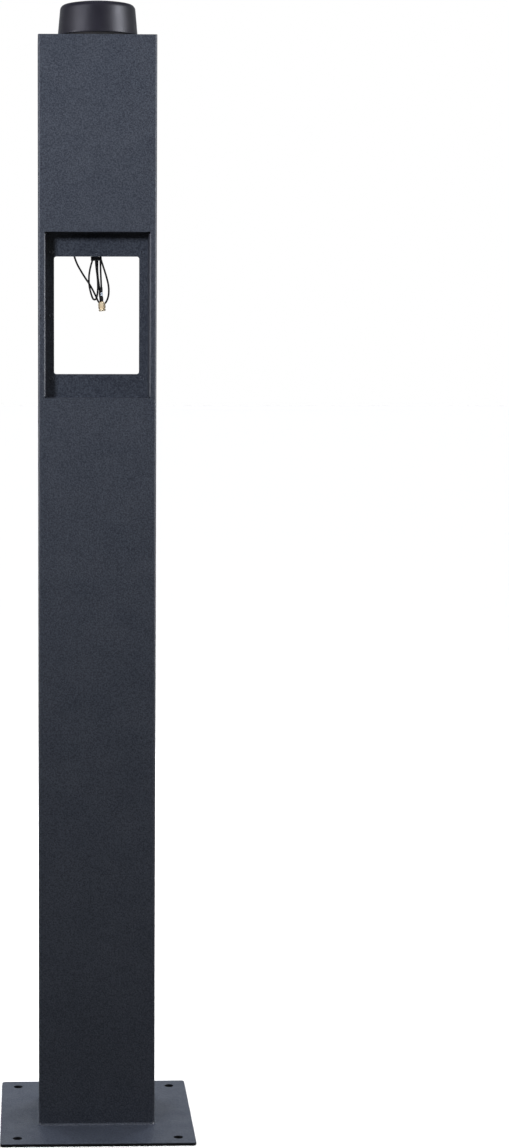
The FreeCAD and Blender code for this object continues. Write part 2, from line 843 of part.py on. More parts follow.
def plate_screws(places, seat):
    """Pan-head screws whose heads sit on the face at seat, with shanks that end behind the plate."""
    screws = []
    for x, z in places:
        shank = rod(screw_radius, screw_length, (x, seat - screw_length, z), axis_y)
        head = rod(screw_head_radius, screw_head_height, (x, seat, z), axis_y)
        rim = [edge for edge in head.Edges
               if edge.BoundBox.YMin > seat + screw_head_height - level_tolerance]
        screws.append(shank.fuse(head.makeFillet(screw_head_round, rim)).removeSplitter())
    return screws


def supply_chassis():
    """The power supply's base sheet with mounting ears and its upper and lower walls."""
    half = supply_width / 2
    low = supply_z - supply_height / 2
    high = supply_z + supply_height / 2
    floor = gear_face + supply_sheet
    front = gear_face + supply_depth - supply_sheet
    chassis = block((-half - supply_ear, gear_face, low), (half + supply_ear, floor, high))
    chassis = chassis.fuse(block((-half, gear_face, low), (half, front, low + supply_sheet)))
    chassis = chassis.fuse(block((-half, gear_face, high - supply_sheet), (half, front, high)))
    for x, z in supply_screw_places():
        chassis = chassis.cut(rod(screw_radius, supply_sheet, (x, gear_face, z), axis_y))
    return chassis.removeSplitter()


def vent_grid(centre_x, y_low, y_high):
    """Staggered hexagonal holes through the cover's face."""
    holes = []
    row_pitch = vent_pitch * math.sqrt(3) / 2
    for row in range(vent_rows):
        shift = vent_pitch / 2 * (row % 2)
        for column in range(vent_columns):
            x = centre_x + (column - (vent_columns - 1) / 2) * vent_pitch + shift - vent_pitch / 4
            z = supply_z + (row - (vent_rows - 1) / 2) * row_pitch
            holes.append(hexagon(vent_flats, y_high - y_low, 0, (x, y_low, z), axis_y))
    return Part.makeCompound(holes)


def supply_cover():
    """The lid: a vented face and one closed end, stopping short of the terminals."""
    half = supply_width / 2
    low = supply_z - supply_height / 2
    high = supply_z + supply_height / 2
    front = gear_face + supply_depth
    face_low = front - supply_sheet
    right = half - supply_terminal_width
    lid = block((-half, face_low, low), (right, front, high))
    end = block((-half, gear_face + supply_sheet, low + supply_sheet),
                (-half + supply_sheet, face_low, high - supply_sheet))
    lid = lid.fuse(end)
    centre = (right - half) / 2
    for offset in centred_pair(supply_width / 5):
        lid = lid.cut(vent_grid(centre + offset, face_low - overcut, front + overcut))
    return lid.removeSplitter()


def supply_board():
    half = supply_width / 2
    low = supply_z - supply_height / 2 + supply_sheet + supply_gap
    high = supply_z + supply_height / 2 - supply_sheet - supply_gap
    level = gear_face + supply_sheet + supply_board_lift
    floor = gear_face + supply_sheet
    board = block((-half + supply_sheet + supply_gap, level, low), (half, level + board_thickness, high))
    for x in centred_pair(half - supply_pillar_inset_x):
        for z in (low + supply_pillar_inset_z, high - supply_pillar_inset_z):
            board = board.fuse(rod(pillar_radius, supply_board_lift, (x, floor, z), axis_y))
    return board.removeSplitter()


def supply_terminals():
    """Screw terminals at the open end of the supply, with the wells that hold the screws."""
    half = supply_width / 2
    back = gear_face + supply_sheet + supply_board_lift + board_thickness
    left = half - supply_terminal_width + supply_gap
    strip_half = supply_height / 2 - strip_inset
    strip = block((left, back, supply_z - strip_half), (half, back + strip_depth, supply_z + strip_half))
    floor = back + strip_floor
    pitch = 2 * strip_half / strip_ways
    well_half = (pitch - strip_rib) / 2
    screw_x = (left + strip_wall + half) / 2
    for i in range(strip_ways):
        z = supply_z - strip_half + pitch * (i + 0.5)
        strip = strip.cut(block((left + strip_wall, floor, z - well_half),
                                (half + overcut, back + strip_depth + overcut, z + well_half)))
        strip = strip.fuse(rod(strip_screw_radius, strip_screw_height, (screw_x, floor, z), axis_y))
    return strip.removeSplitter()


def din_rail():
    """A top-hat rail: valley against the plate, two rims standing forward."""
    half = rail_length / 2
    valley = rail_valley / 2
    rim = rail_height / 2
    rail = block((-half, gear_face, rail_z - valley), (half, gear_face + rail_sheet, rail_z + valley))
    for side in (-1, 1):
        wall = sorted((rail_z + side * valley, rail_z + side * (valley - rail_sheet)))
        rail = rail.fuse(block((-half, gear_face, wall[0]), (half, rail_face, wall[1])))
        lip = sorted((rail_z + side * (valley - rail_sheet), rail_z + side * rim))
        rail = rail.fuse(block((-half, rail_face - rail_sheet, lip[0]), (half, rail_face, lip[1])))
    for x, z in rail_screw_places():
        rail = rail.cut(rod(screw_radius, rail_sheet, (x, gear_face, z), axis_y))
    return rail.removeSplitter()


def rail_piece(left, width, height, depth):
    """A moulded body that stands on the rail, with a hook over each rim."""
    right = left + width
    body = block((left, rail_face, rail_z - height / 2), (right, rail_face + depth, rail_z + height / 2))
    back = rail_face - rail_sheet - hook_clearance - hook_toe_thickness
    for side in (-1, 1):
        near = rail_height / 2 + hook_clearance
        leg = sorted((rail_z + side * near, rail_z + side * (near + hook_thickness)))
        body = body.fuse(block((left, back, leg[0]), (right, rail_face, leg[1])))
        toe = sorted((rail_z + side * (near - hook_toe_reach), rail_z + side * near))
        body = body.fuse(block((left, back, toe[0]), (right, back + hook_toe_thickness, toe[1])))
    return body.removeSplitter()


def toggle_pivot():
    """The centre of the breaker's toggle, just inside the face of its nose."""
    depth = rail_face + breaker_nose_depth - toggle_hub_radius + toggle_hub_proud
    return breaker_x + breaker_width / 2, depth, rail_z


def breaker_screw_places():
    """Each clamp screw's x and level, with the side of the rail that it is on."""
    rise = (breaker_height + breaker_nose_height) / 4
    places = []
    for side in (-1, 1):
        for module in range(breaker_modules):
            x = breaker_x + breaker_width * (module + 0.5) / breaker_modules
            places.append((x, rail_z + side * rise, side))
    return places


def breaker_body():
    """A two-module breaker: full height at its shoulders, a narrower nose, and the toggle's slot."""
    body = rail_piece(breaker_x, breaker_width, breaker_height, breaker_shoulder)
    nose_half = breaker_nose_height / 2
    nose = block((breaker_x, rail_face, rail_z - nose_half),
                 (breaker_x + breaker_width, rail_face + breaker_nose_depth, rail_z + nose_half))
    body = body.fuse(nose).removeSplitter()
    x, y, z = toggle_pivot()
    half = toggle_width / 2 + toggle_side_clearance
    radius = toggle_hub_radius + toggle_hub_clearance
    body = body.cut(rod(radius, 2 * half, (x - half, y, z), axis_x))
    slot_half = toggle_mouth / 2
    body = body.cut(block((x - half, y, z - slot_half), (x + half, y + toggle_reach, z + slot_half)))
    pin = toggle_trunnion_length + toggle_end_clearance
    body = body.cut(rod(toggle_trunnion_radius + toggle_running_clearance, 2 * (half + pin),
                        (x - half - pin, y, z), axis_x))
    well_floor = rail_face + breaker_shoulder - breaker_well_depth
    mouth_low = rail_face + breaker_mouth_level
    mouth_high = mouth_low + breaker_mouth_height
    mouth_half = breaker_mouth_width / 2
    for screw_x, level, side in breaker_screw_places():
        body = body.cut(rod(breaker_well_radius, breaker_well_depth, (screw_x, well_floor, level), axis_y))
        end = rail_z + side * breaker_height / 2
        mouth = sorted((end, end - side * breaker_mouth_depth))
        body = body.cut(block((screw_x - mouth_half, mouth_low, mouth[0]),
                              (screw_x + mouth_half, mouth_high, mouth[1])))
    return body


def breaker_screws():
    """Clamp screws at the bottom of the breaker's wells."""
    floor = rail_face + breaker_shoulder - breaker_well_depth
    return [rod(breaker_screw_radius, breaker_screw_height, (x, floor, level), axis_y)
            for x, level, _ in breaker_screw_places()]


def breaker_toggle():
    """The toggle: a hub on two trunnions with a lever, turned down in its off place."""
    x, y, z = toggle_pivot()
    half = toggle_width / 2
    toggle = rod(toggle_hub_radius, toggle_width, (x - half, y, z), axis_x)
    pin = half + toggle_trunnion_length
    toggle = toggle.fuse(rod(toggle_trunnion_radius, 2 * pin, (x - pin, y, z), axis_x))
    lever = block((x - half, y, z - toggle_thickness / 2),
                  (x + half, y + toggle_reach, z + toggle_thickness / 2))
    toggle = toggle.fuse(lever).removeSplitter()
    toggle.rotate(vector(x, y, z), axis_x, toggle_rest_angle)
    return toggle


def row_x(index):
    """The left side of a place in the terminal row: the end stop is place 0."""
    start = breaker_x + breaker_width + gear_row_gap
    if index == 0:
        return start
    return start + end_stop_width + gear_row_gap + (index - 1) * (terminal_width + gear_row_gap)


def terminal(index):
    """A rail terminal with a sloping head, two wire mouths and two screw wells."""
    left = row_x(index)
    middle = left + terminal_width / 2
    right = left + terminal_width
    head = rail_face + terminal_depth
    mouth_low = rail_face + terminal_mouth_level
    mouth_high = mouth_low + terminal_mouth_height
    body = rail_piece(left, terminal_width, terminal_height, terminal_depth)
    for side in (-1, 1):
        edge = rail_z + side * terminal_height / 2
        level = edge - side * terminal_well_inset
        body = body.cut(rod(terminal_well_radius, terminal_well_depth,
                            (middle, head - terminal_well_depth, level), axis_y))
        mouth = sorted((edge, edge - side * terminal_mouth_depth))
        body = body.cut(block((left + terminal_wall, mouth_low, mouth[0]),
                              (right - terminal_wall, mouth_high, mouth[1])))
        corner = [vector(left - overcut, head - terminal_slope_depth, edge),
                  vector(left - overcut, head + overcut, edge),
                  vector(left - overcut, head + overcut, edge - side * terminal_slope_height)]
        wedge = Part.Face(Part.makePolygon(corner + corner[:1]))
        body = body.cut(wedge.extrude(axis_x * (terminal_width + 2 * overcut)))
    return body


def terminals():
    return [terminal(1 + i) for i in range(terminal_count)]


def end_stops():
    """Clamps at both ends of the terminal row."""
    last = row_x(terminal_count + 2)
    stops = []
    for left in (row_x(0), last):
        stop = rail_piece(left, end_stop_width, end_stop_height, end_stop_depth)
        bottom = (left + end_stop_width / 2, rail_face + end_stop_depth - end_stop_well_depth, rail_z)
        well = rod(end_stop_well_radius, end_stop_well_depth, bottom, axis_y)
        stops.append(stop.cut(well))
    return stops


def cable_clamp():
    """A saddle with two ears that holds the supply cable to the gear plate."""
    radius = clamp_bore_radius + clamp_wall
    low = clamp_z - clamp_width / 2
    high = clamp_z + clamp_width / 2
    centre_y = gear_face + clamp_bore_radius
    saddle = rod(radius, clamp_width, (clamp_x, centre_y, low), axis_z)
    saddle = saddle.fuse(block((clamp_x - radius, gear_face, low), (clamp_x + radius, centre_y, high)))
    reach = radius + clamp_ear
    saddle = saddle.fuse(block((clamp_x - reach, gear_face, low),
                               (clamp_x + reach, gear_face + clamp_wall, high)))
    saddle = saddle.common(block((clamp_x - reach, gear_face, low),
                                 (clamp_x + reach, centre_y + radius, high)))
    bore = rod(clamp_bore_radius, clamp_width, (clamp_x, centre_y, low), axis_z)
    throat = block((clamp_x - clamp_bore_radius, gear_face, low),
                   (clamp_x + clamp_bore_radius, centre_y, high))
    saddle = saddle.cut(bore).cut(throat)
    for x, z in clamp_screw_places():
        saddle = saddle.cut(rod(screw_radius, clamp_wall, (x, gear_face, z), axis_y))
    return saddle.removeSplitter()


# ---- Earthing

def earth_stud():
    start = (inner_side, earth_y, earth_z)
    return rod(earth_stud_radius, earth_stud_length, start, -axis_x)


def earth_nuts():
    """A washer-backed pair of nuts for the earth conductors' ring lugs."""
    first = inner_side - earth_washer_thickness
    second = first - earth_nut_height - earth_lug_gap - earth_washer_thickness
    return [hexagon(earth_nut_flats, earth_nut_height, earth_stud_radius, (x, earth_y, earth_z), -axis_x)
            for x in (first, second)]


def earth_washers():
    first = inner_side
    second = first - earth_washer_thickness - earth_nut_height - earth_lug_gap
    return [ring(earth_washer_radius, earth_stud_radius, earth_washer_thickness,
                 (x, earth_y, earth_z), -axis_x) for x in (first, second)]


def door_earth_stud():
    start = (0, door_inner, return_bottom + door_earth_inset)
    return swung(rod(door_earth_radius, door_earth_length, start, -axis_y))


def door_earth_nut():
    start = (0, door_inner, return_bottom + door_earth_inset)
    return swung(hexagon(door_earth_nut_flats, door_earth_nut_height, door_earth_radius, start, -axis_y))


# ---- Antenna leads

def unit(direction):
    return vector(*direction).normalize()


def lead_path(route):
    """Straight runs joined by tangent arcs; each arc is as large as its two runs allow."""
    points = [vector(*point) for point in route]
    edges = []
    radii = []
    here = points[0]
    for before, corner, after in zip(points, points[1:], points[2:]):
        arriving = (corner - before).normalize()
        leaving = (after - corner).normalize()
        half_turn = arriving.getAngle(leaving) / 2
        reach = arc_share * min((corner - before).Length, (after - corner).Length)
        radius = reach / math.tan(half_turn)
        start = corner - arriving * reach
        end = corner + leaving * reach
        inward = (leaving - arriving).normalize()
        middle = corner + inward * (radius / math.cos(half_turn) - radius)
        edges.append(Part.LineSegment(here, start).toShape())
        edges.append(Part.Arc(start, middle, end).toShape())
        radii.append(round(radius, 1))
        here = end
    edges.append(Part.LineSegment(here, points[-1]).toShape())
    return Part.Wire(edges), radii


def lead(name, route):
    """A round lead along its path; its volume is compared with its section times its length."""
    path, radii = lead_path(route)
    start = (vector(*route[1]) - vector(*route[0])).normalize()
    section = Part.Wire(Part.Circle(vector(*route[0]), start, lead_diameter / 2).toShape())
    tube = path.makePipeShell([section], True, False)
    expected = math.pi * (lead_diameter / 2) ** 2 * path.Length
    print(name, "length", round(path.Length, 1), "volume ratio", round(tube.Volume / expected, 4))
    print(name, "radii", radii)
    return tube


def on_plug(shape_along_z, route, direction):
    """Place a plug's piece, drawn along +Z from the lead's end, on the end of its lead."""
    return placed(shape_along_z, route[-1], unit(direction))


plug_ends = [
    (long_lead_route, long_lead_plug_direction, front_plug_start),
    (short_lead_route, short_lead_plug_direction, rear_plug_start),
]


def lead_boots():
    """Heat-shrink sleeves from each lead's end to its plug; the front one leaves room for a marker."""
    front = [
        Part.makeCylinder(sleeve_radius, marker_start),
        Part.makeCylinder(boot_radius, front_plug_start - marker_end, vector(0, 0, marker_end)),
    ]
    rear = Part.makeCylinder(boot_radius, rear_plug_start)
    return ([on_plug(piece, long_lead_route, long_lead_plug_direction) for piece in front]
            + [on_plug(rear, short_lead_route, short_lead_plug_direction)])


def lead_marker():
    marker = Part.makeCylinder(marker_radius, marker_end - marker_start, vector(0, 0, marker_start))
    return on_plug(marker, long_lead_route, long_lead_plug_direction)


def plug_bodies():
    """The plugs' collars, with the contact pin in the mouth."""
    bodies = []
    for route, direction, start in plug_ends:
        body = Part.makeCylinder(plug_body_radius, plug_body_length, vector(0, 0, start))
        pin = Part.makeCylinder(contact_pin_radius, contact_pin_length,
                                vector(0, 0, start + plug_body_length))
        bodies.append(on_plug(body.fuse(pin).removeSplitter(), route, direction))
    return bodies


def coupling_nuts():
    """The plugs' hexagonal coupling nuts, open at the mouth."""
    nuts = []
    for route, direction, start in plug_ends:
        nut_start = start + coupling_setback
        nut = hexagon(coupling_flats, coupling_height, plug_body_radius + plug_clearance,
                      (0, 0, nut_start), axis_z)
        mouth_start = start + plug_body_length + coupling_shoulder
        mouth = Part.makeCylinder(coupling_bore, nut_start + coupling_height - mouth_start,
                                  vector(0, 0, mouth_start))
        nuts.append(on_plug(nut.cut(mouth), route, direction))
    return nuts


def lead_tie():
    """The tape wrapped round the bundle where it enters the window."""
    half_x = tie_width / 2
    half_y = tie_depth / 2
    wrap = block((tie_centre_x - half_x, tie_centre_y - half_y, tie_z - tie_height / 2),
                 (tie_centre_x + half_x, tie_centre_y + half_y, tie_z + tie_height / 2))
    upright = [edge for edge in wrap.Edges if abs(edge.tangentAt(edge.FirstParameter).z) > 0.9]
    return wrap.makeFillet(tie_corner_radius, upright)


def main():
    os.makedirs("parts", exist_ok=True)
    makers = [
        base_plate, base_weld, post_shell, top_plate, recess_tray, reader_studs,
        antenna_radome, antenna_base, antenna_board, antenna_patch, antenna_gasket,
        stem_washer, stem_nut, stem_potting,
        rear_door, door_gasket, hinge_fixed_knuckles, hinge_pins, hinge_washers, hinge_door_leaves,
        lock_housings, lock_nuts, lock_strikes,
        gear_plate, gear_studs, gear_spacers, gear_nuts,
        supply_chassis, supply_cover, supply_board, supply_terminals,
        din_rail, breaker_body, breaker_screws, breaker_toggle, terminals, end_stops, cable_clamp,
        earth_stud, earth_nuts, earth_washers, door_earth_stud, door_earth_nut,
        lead_boots, lead_marker, plug_bodies, coupling_nuts, lead_tie,
    ]
    for make in makers:
        export(make.__name__, make())
    export("earth_terminal", terminal(terminal_count + 1))
    export("supply_screws", plate_screws(supply_screw_places(), gear_face + supply_sheet))
    export("rail_screws", plate_screws(rail_screw_places(), gear_face + rail_sheet))
    export("clamp_screws", plate_screws(clamp_screw_places(), gear_face + clamp_wall))
    for name, level in lock_levels.items():
        export(name + "_lock_barrel", lock_barrel(level))
        export(name + "_lock_cam", lock_cam(level))
        export(name + "_cam_screw", cam_screw(level))
    export("long_lead", lead("long_lead", long_lead_route))
    export("short_lead", lead("short_lead", short_lead_route))


main()
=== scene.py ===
import json
import math
import bmesh
import bpy
import numpy as np
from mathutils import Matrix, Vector

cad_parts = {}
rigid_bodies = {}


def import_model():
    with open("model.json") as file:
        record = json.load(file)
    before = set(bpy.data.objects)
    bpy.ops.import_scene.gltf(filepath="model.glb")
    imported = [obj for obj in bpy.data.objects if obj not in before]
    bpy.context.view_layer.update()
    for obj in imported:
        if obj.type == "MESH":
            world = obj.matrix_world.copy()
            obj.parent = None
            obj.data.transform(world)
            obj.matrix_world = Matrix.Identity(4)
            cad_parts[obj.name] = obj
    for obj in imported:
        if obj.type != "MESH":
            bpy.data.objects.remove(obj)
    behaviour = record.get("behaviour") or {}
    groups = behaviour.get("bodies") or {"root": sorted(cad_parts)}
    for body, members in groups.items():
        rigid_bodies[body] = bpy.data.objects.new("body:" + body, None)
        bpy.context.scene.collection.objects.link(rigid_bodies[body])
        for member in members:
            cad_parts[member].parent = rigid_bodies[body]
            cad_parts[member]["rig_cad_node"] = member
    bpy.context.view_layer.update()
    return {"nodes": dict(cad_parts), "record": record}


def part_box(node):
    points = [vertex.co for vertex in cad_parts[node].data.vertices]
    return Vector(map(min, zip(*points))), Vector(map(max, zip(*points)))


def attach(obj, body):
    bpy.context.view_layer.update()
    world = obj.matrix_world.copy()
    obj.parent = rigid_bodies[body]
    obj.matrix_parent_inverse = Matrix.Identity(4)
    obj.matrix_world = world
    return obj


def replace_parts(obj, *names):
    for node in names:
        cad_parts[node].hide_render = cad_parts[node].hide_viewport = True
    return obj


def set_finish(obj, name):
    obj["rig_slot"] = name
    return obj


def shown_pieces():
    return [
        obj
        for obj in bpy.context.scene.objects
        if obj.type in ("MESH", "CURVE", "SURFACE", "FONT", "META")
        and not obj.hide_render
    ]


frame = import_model()
nodes = frame["nodes"]
nodeSlots = {part["node"]: part["material_slot"] for part in frame["record"]["subparts"]}
mm = 0.001


def boxOf(nodeName):
    # a CAD node's lowest and highest corners in millimetres, as all shapes below are
    return np.round(np.array(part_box(nodeName)) / mm, 3)


tubeLow, tubeHigh = boxOf("post_shell")
recessLow, recessHigh = boxOf("recess_tray")
gearLow, gearHigh = boxOf("gear_plate")
postTop = float(tubeHigh[2])
sheet = 2.0  # the steel of the tube and the recess

# camera: a little left of the post and above its middle, looking slightly down

cameraSetup = {
    "place": (-0.0841, -3.0358, 1.0319),
    "down": 4.578,  # degrees below the horizon
    "right": 1.607,
    "roll": -0.045,
    "lens": 73.66,
    "sensor": 36.0,
    "shift": (0.1371, -0.0470),
    "nearest": 0.05,
}


def addCamera(setup):
    data = bpy.data.cameras.new("postCamera")
    data.lens = setup["lens"]
    data.sensor_width = setup["sensor"]
    data.shift_x, data.shift_y = setup["shift"]
    data.clip_start = setup["nearest"]
    camera = bpy.data.objects.new("postCamera", data)
    camera.location = setup["place"]
    tilt = math.radians(90 - setup["down"])
    camera.rotation_euler = (tilt, math.radians(setup["roll"]), -math.radians(setup["right"]))
    bpy.context.scene.collection.objects.link(camera)
    bpy.context.scene.camera = camera


addCamera(cameraSetup)
print("camera set")

# cords: the two antenna leads, on the same points as the CAD routes

leadSetup = {
    "diameter": 0.0024,  # metres, as the lengths are
    "longLength": 0.6669,
    "shortLength": 0.2952,
    "longPoints": [
        (-2.0, 0.0, 1378.0), (-2.0, 0.0, 1340.0), (-7.0, 2.6, 1290.0), (-17.0, 6.0, 1238.0),
        (-28.0, 8.0, 1190.0), (-32.5, 8.5, 1156.0), (-28.5, 8.5, 1126.0), (-17.0, 9.5, 1105.5),
        (-7.0, 13.0, 1091.5), (0.0, 18.5, 1078.0), (4.0, 21.5, 1069.0), (11.5, 21.5, 1067.0),
        (16.5, 19.5, 1077.0), (16.8, 16.0, 1090.0), (13.5, 12.5, 1103.0), (9.2, 10.4, 1116.0),
        (5.2, 9.8, 1128.0), (8.0, 9.8, 1143.0), (7.0, 9.6, 1157.0), (0.0, 9.4, 1164.0),
        (-7.0, 9.0, 1157.0), (-7.5, 8.6, 1143.0), (-3.4, 8.4, 1128.0), (-7.4, 8.0, 1116.0),
        (-9.6, 7.6, 1103.0), (-9.0, 7.4, 1090.5), (-6.5, 7.2, 1080.5), (-3.9, 7.0, 1073.4),
        (0.0, 6.9, 1073.6), (1.7, 6.7, 1080.5), (2.3, 6.6, 1091.0), (1.6, 6.4, 1103.0),
        (-0.2, 6.2, 1116.0), (-0.8, 6.0, 1128.0), (-3.6, 5.8, 1138.0), (-1.6, 5.6, 1147.0),
        (4.4, 5.4, 1149.0), (8.8, 5.2, 1142.0), (5.2, 5.2, 1128.0), (5.6, 5.2, 1112.0),
        (6.05, 5.0, 1100.0), (6.6, 5.0, 1090.0),
    ],
    "shortPoints": [
        (4.5, 0.0, 1378.0), (4.5, 0.0, 1342.0), (5.4, 3.2, 1292.0), (4.0, 8.6, 1243.0),
        (2.0, 12.4, 1200.0), (1.2, 13.4, 1164.0), (1.6, 11.9, 1142.0), (1.9, 9.9, 1126.0),
        (1.6, 10.4, 1112.0), (2.5, 11.8, 1101.0), (4.13, 13.4, 1091.0), (4.9, 13.4, 1084.0),
    ],
}


def addLead(name, points):
    # a tube along a spline of the second degree, which the points lead and only its ends touch
    curve = bpy.data.curves.new(name, "CURVE")
    curve.dimensions = "3D"
    curve.bevel_depth = 1.0  # times each point's radius
    curve.bevel_resolution = 4
    curve.resolution_u = 12
    curve.use_fill_caps = True
    spline = curve.splines.new("NURBS")
    spline.points.add(len(points) - 1)
    flat = np.ones((len(points), 4))
    flat[:, :3] = np.array(points) * mm
    spline.points.foreach_set("co", flat.ravel())
    spline.points.foreach_set("radius", np.full(len(points), leadSetup["diameter"] / 2))
    spline.order_u = 3
    spline.use_endpoint_u = True
    piece = bpy.data.objects.new(name, curve)
    bpy.context.scene.collection.objects.link(piece)
    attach(piece, "post")
    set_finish(piece, "lead_sheath")
    return piece


# helpers that turn grids of points into pieces

def addPiece(name, mesh, slot, body="post"):
    piece = bpy.data.objects.new(name, mesh)
    bpy.context.scene.collection.objects.link(piece)
    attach(piece, body)
    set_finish(piece, slot)
    return piece


def closeSkin(mesh, crease):
    # merges the points that meet at seams and poles, then turns every face outwards
    work = bmesh.new()
    work.from_mesh(mesh)
    bmesh.ops.remove_doubles(work, verts=work.verts, dist=1e-6)
    bmesh.ops.recalc_face_normals(work, faces=work.faces)
    work.to_mesh(mesh)
    work.free()
    mesh.shade_smooth()
    mesh.set_sharp_from_angle(angle=math.radians(crease))


def skin(name, points, crease=35, ring=False):
    # points[row, column] in millimetres: rows run along the piece, columns close round it
    rows, columns = points.shape[:2]
    index = np.arange(rows * columns).reshape(rows, columns)
    if ring:
        index = np.vstack((index, index[:1]))
    index = np.hstack((index, index[:, :1]))
    corners = (index[:-1, :-1], index[:-1, 1:], index[1:, 1:], index[1:, :-1])
    faces = np.stack(corners, axis=-1).reshape(-1, 4)
    mesh = bpy.data.meshes.new(name)
    mesh.from_pydata((points.reshape(-1, 3) * mm).tolist(), [], faces.tolist())
    closeSkin(mesh, crease)
    return mesh


def turned(profile, start, direction, steps=48):
    # carries (radius, height) pairs round an axis: start + height * axis + radius * (cos a, sin a)
    axis = Vector(direction).normalized()
    side = axis.orthogonal().normalized()
    up = axis.cross(side)
    angle = np.linspace(0, 2 * math.pi, steps, endpoint=False)
    around = np.cos(angle)[:, None] * np.array(side) + np.sin(angle)[:, None] * np.array(up)
    radius = np.array([np.broadcast_to(pair[0], steps) for pair in profile], float)
    height = np.array([pair[1] for pair in profile], float)
    along = height[:, None, None] * np.array(axis)
    return np.array(start, float) + along + radius[:, :, None] * around


def joined(name, meshes):
    # one mesh from several separate skins
    work = bmesh.new()
    for mesh in meshes:
        work.from_mesh(mesh)
        bpy.data.meshes.remove(mesh)
    whole = bpy.data.meshes.new(name)
    work.to_mesh(whole)
    work.free()
    return whole


def roundedLoop(width, depth, radius, count):
    # evenly spaced steps round a rounded rectangle: places, outward directions and lengths so far;
    # between its corners the corner's centre slides, and the outward direction stays
    cornerSteps = 7
    quarter = np.linspace(0, 90, cornerSteps)
    angle = np.radians(np.concatenate([quarter + 90 * k for k in range(4)] + [[360]]))
    centre = np.repeat([(1, 1), (-1, 1), (-1, -1), (1, -1)], cornerSteps, axis=0)
    centre = np.vstack((centre, centre[:1])) * (width / 2 - radius, depth / 2 - radius)
    outline = centre + radius * np.stack((np.cos(angle), np.sin(angle)), axis=1)
    length = np.concatenate(([0], np.cumsum(np.linalg.norm(np.diff(outline, axis=0), axis=1))))
    along = np.linspace(0, length[-1], count, endpoint=False)
    turn = np.interp(along, length, angle)
    middle = np.stack([np.interp(along, length, centre[:, k]) for k in (0, 1)], axis=1)
    outward = np.stack((np.cos(turn), np.sin(turn)), axis=1)
    return middle + radius * outward, outward, along


easing = {
    "merge": 2e-6,  # metres
    "flat": 0.5,  # degrees between faces that count as one
    "sharp": 30,
    "corner": 40,
    "steps": 2,
}


def softened(nodeName, name, width, body, setup):
    # a merged copy of a CAD part with its hard edges eased
    work = bmesh.new()
    work.from_mesh(nodes[nodeName].data)
    bmesh.ops.remove_doubles(work, verts=work.verts, dist=setup["merge"])
    bmesh.ops.dissolve_limit(work, angle_limit=math.radians(setup["flat"]), verts=work.verts,
                             edges=work.edges)
    mesh = bpy.data.meshes.new(name)
    work.to_mesh(mesh)
    work.free()
    mesh.shade_smooth()
    mesh.set_sharp_from_angle(angle=math.radians(setup["sharp"]))
    piece = addPiece(name, mesh, nodeSlots[nodeName], body)
    bevel = piece.modifiers.new("easedEdges", "BEVEL")
    bevel.width = width * mm
    bevel.segments = setup["steps"]
    bevel.limit_method = "ANGLE"
    bevel.angle_limit = math.radians(setup["corner"])
    bevel.harden_normals = True
    bevel.use_clamp_overlap = True
    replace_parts(piece, nodeName)


# leads

longLead = addLead("longLead", leadSetup["longPoints"])
shortLead = addLead("shortLead", leadSetup["shortPoints"])
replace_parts(longLead, "long_lead")
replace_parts(shortLead, "short_lead")
print("leads laid")

# plugs on the leads: shrunk sleeves, a body with its pin and a hexagonal coupling nut each

plugSetup = {
    "sleeve": 1.5,  # radii of the sleeves, the boots and the blank marker
    "boot": 1.7,
    "marker": 1.42,
    "nutFlats": 7.2,
    "nutLength": 10.5,
    "nutBore": 2.45,
    "nutFace": 0.35,  # how far the chamfer starts inside the flats
    "nutCorners": 1.16,  # the chamfer's width at its end, over the flats
    "mouth": 3.1,
    "mouthDepth": 6.0,
    "groove": 0.94,  # the ring groove's width over the flats, and that of its lips
    "grooveLip": 1.05,
    "body": 2.4,
    "bodyLength": 7.0,
    "bodyChamfer": 0.2,
    "crimp": 0.15,  # depth of the body's crimp groove and of its step at the pin
    "setback": 1.5,  # how far the body stands out of the nut towards the lead
    "pin": 0.5,
    "pinLength": 3.0,
    "pinTip": 0.3,
    "waveFrom": 7,  # a sleeve longer than this has a slight wave, between places this far inside its ends
    "waveInset": 3.2,
    "wave": 0.02,
    "waveRate": 2.1,
    "steps": 32,
    "nutSteps": 72,
    "front": {"end": leadSetup["longPoints"][-1], "direction": (0.055, 0.0, -1.0), "nutStart": 20.5},
    "rear": {"end": leadSetup["shortPoints"][-1], "direction": (0.11, 0.0, -1.0), "nutStart": 15.0},
}


def shrunkSleeve(plug, low, high, radius):
    # a tube whose ends taper onto the lead: its radius falls by a quarter over the last 1.6 mm, and
    # between the tapers it is radius * (1 + wave * sin(rate * height))
    length = high - low
    taper = np.array([0, 0.0, 0.25, 0.8, 1.6, 2.4])
    fall = np.array([0, 0.72, 0.80, 0.93, 1.0, 0.985])
    middle = np.array([length / 2])
    if length > plugSetup["waveFrom"]:
        middle = np.linspace(plugSetup["waveInset"], length - plugSetup["waveInset"], 5)
    level = np.concatenate((taper, middle, length - taper[::-1]))
    wave = 1 + plugSetup["wave"] * np.sin(middle * plugSetup["waveRate"])
    share = np.concatenate((fall, wave, fall[::-1]))
    return turned(list(zip(share * radius, level + low)), plug["end"], plug["direction"], plugSetup["steps"])


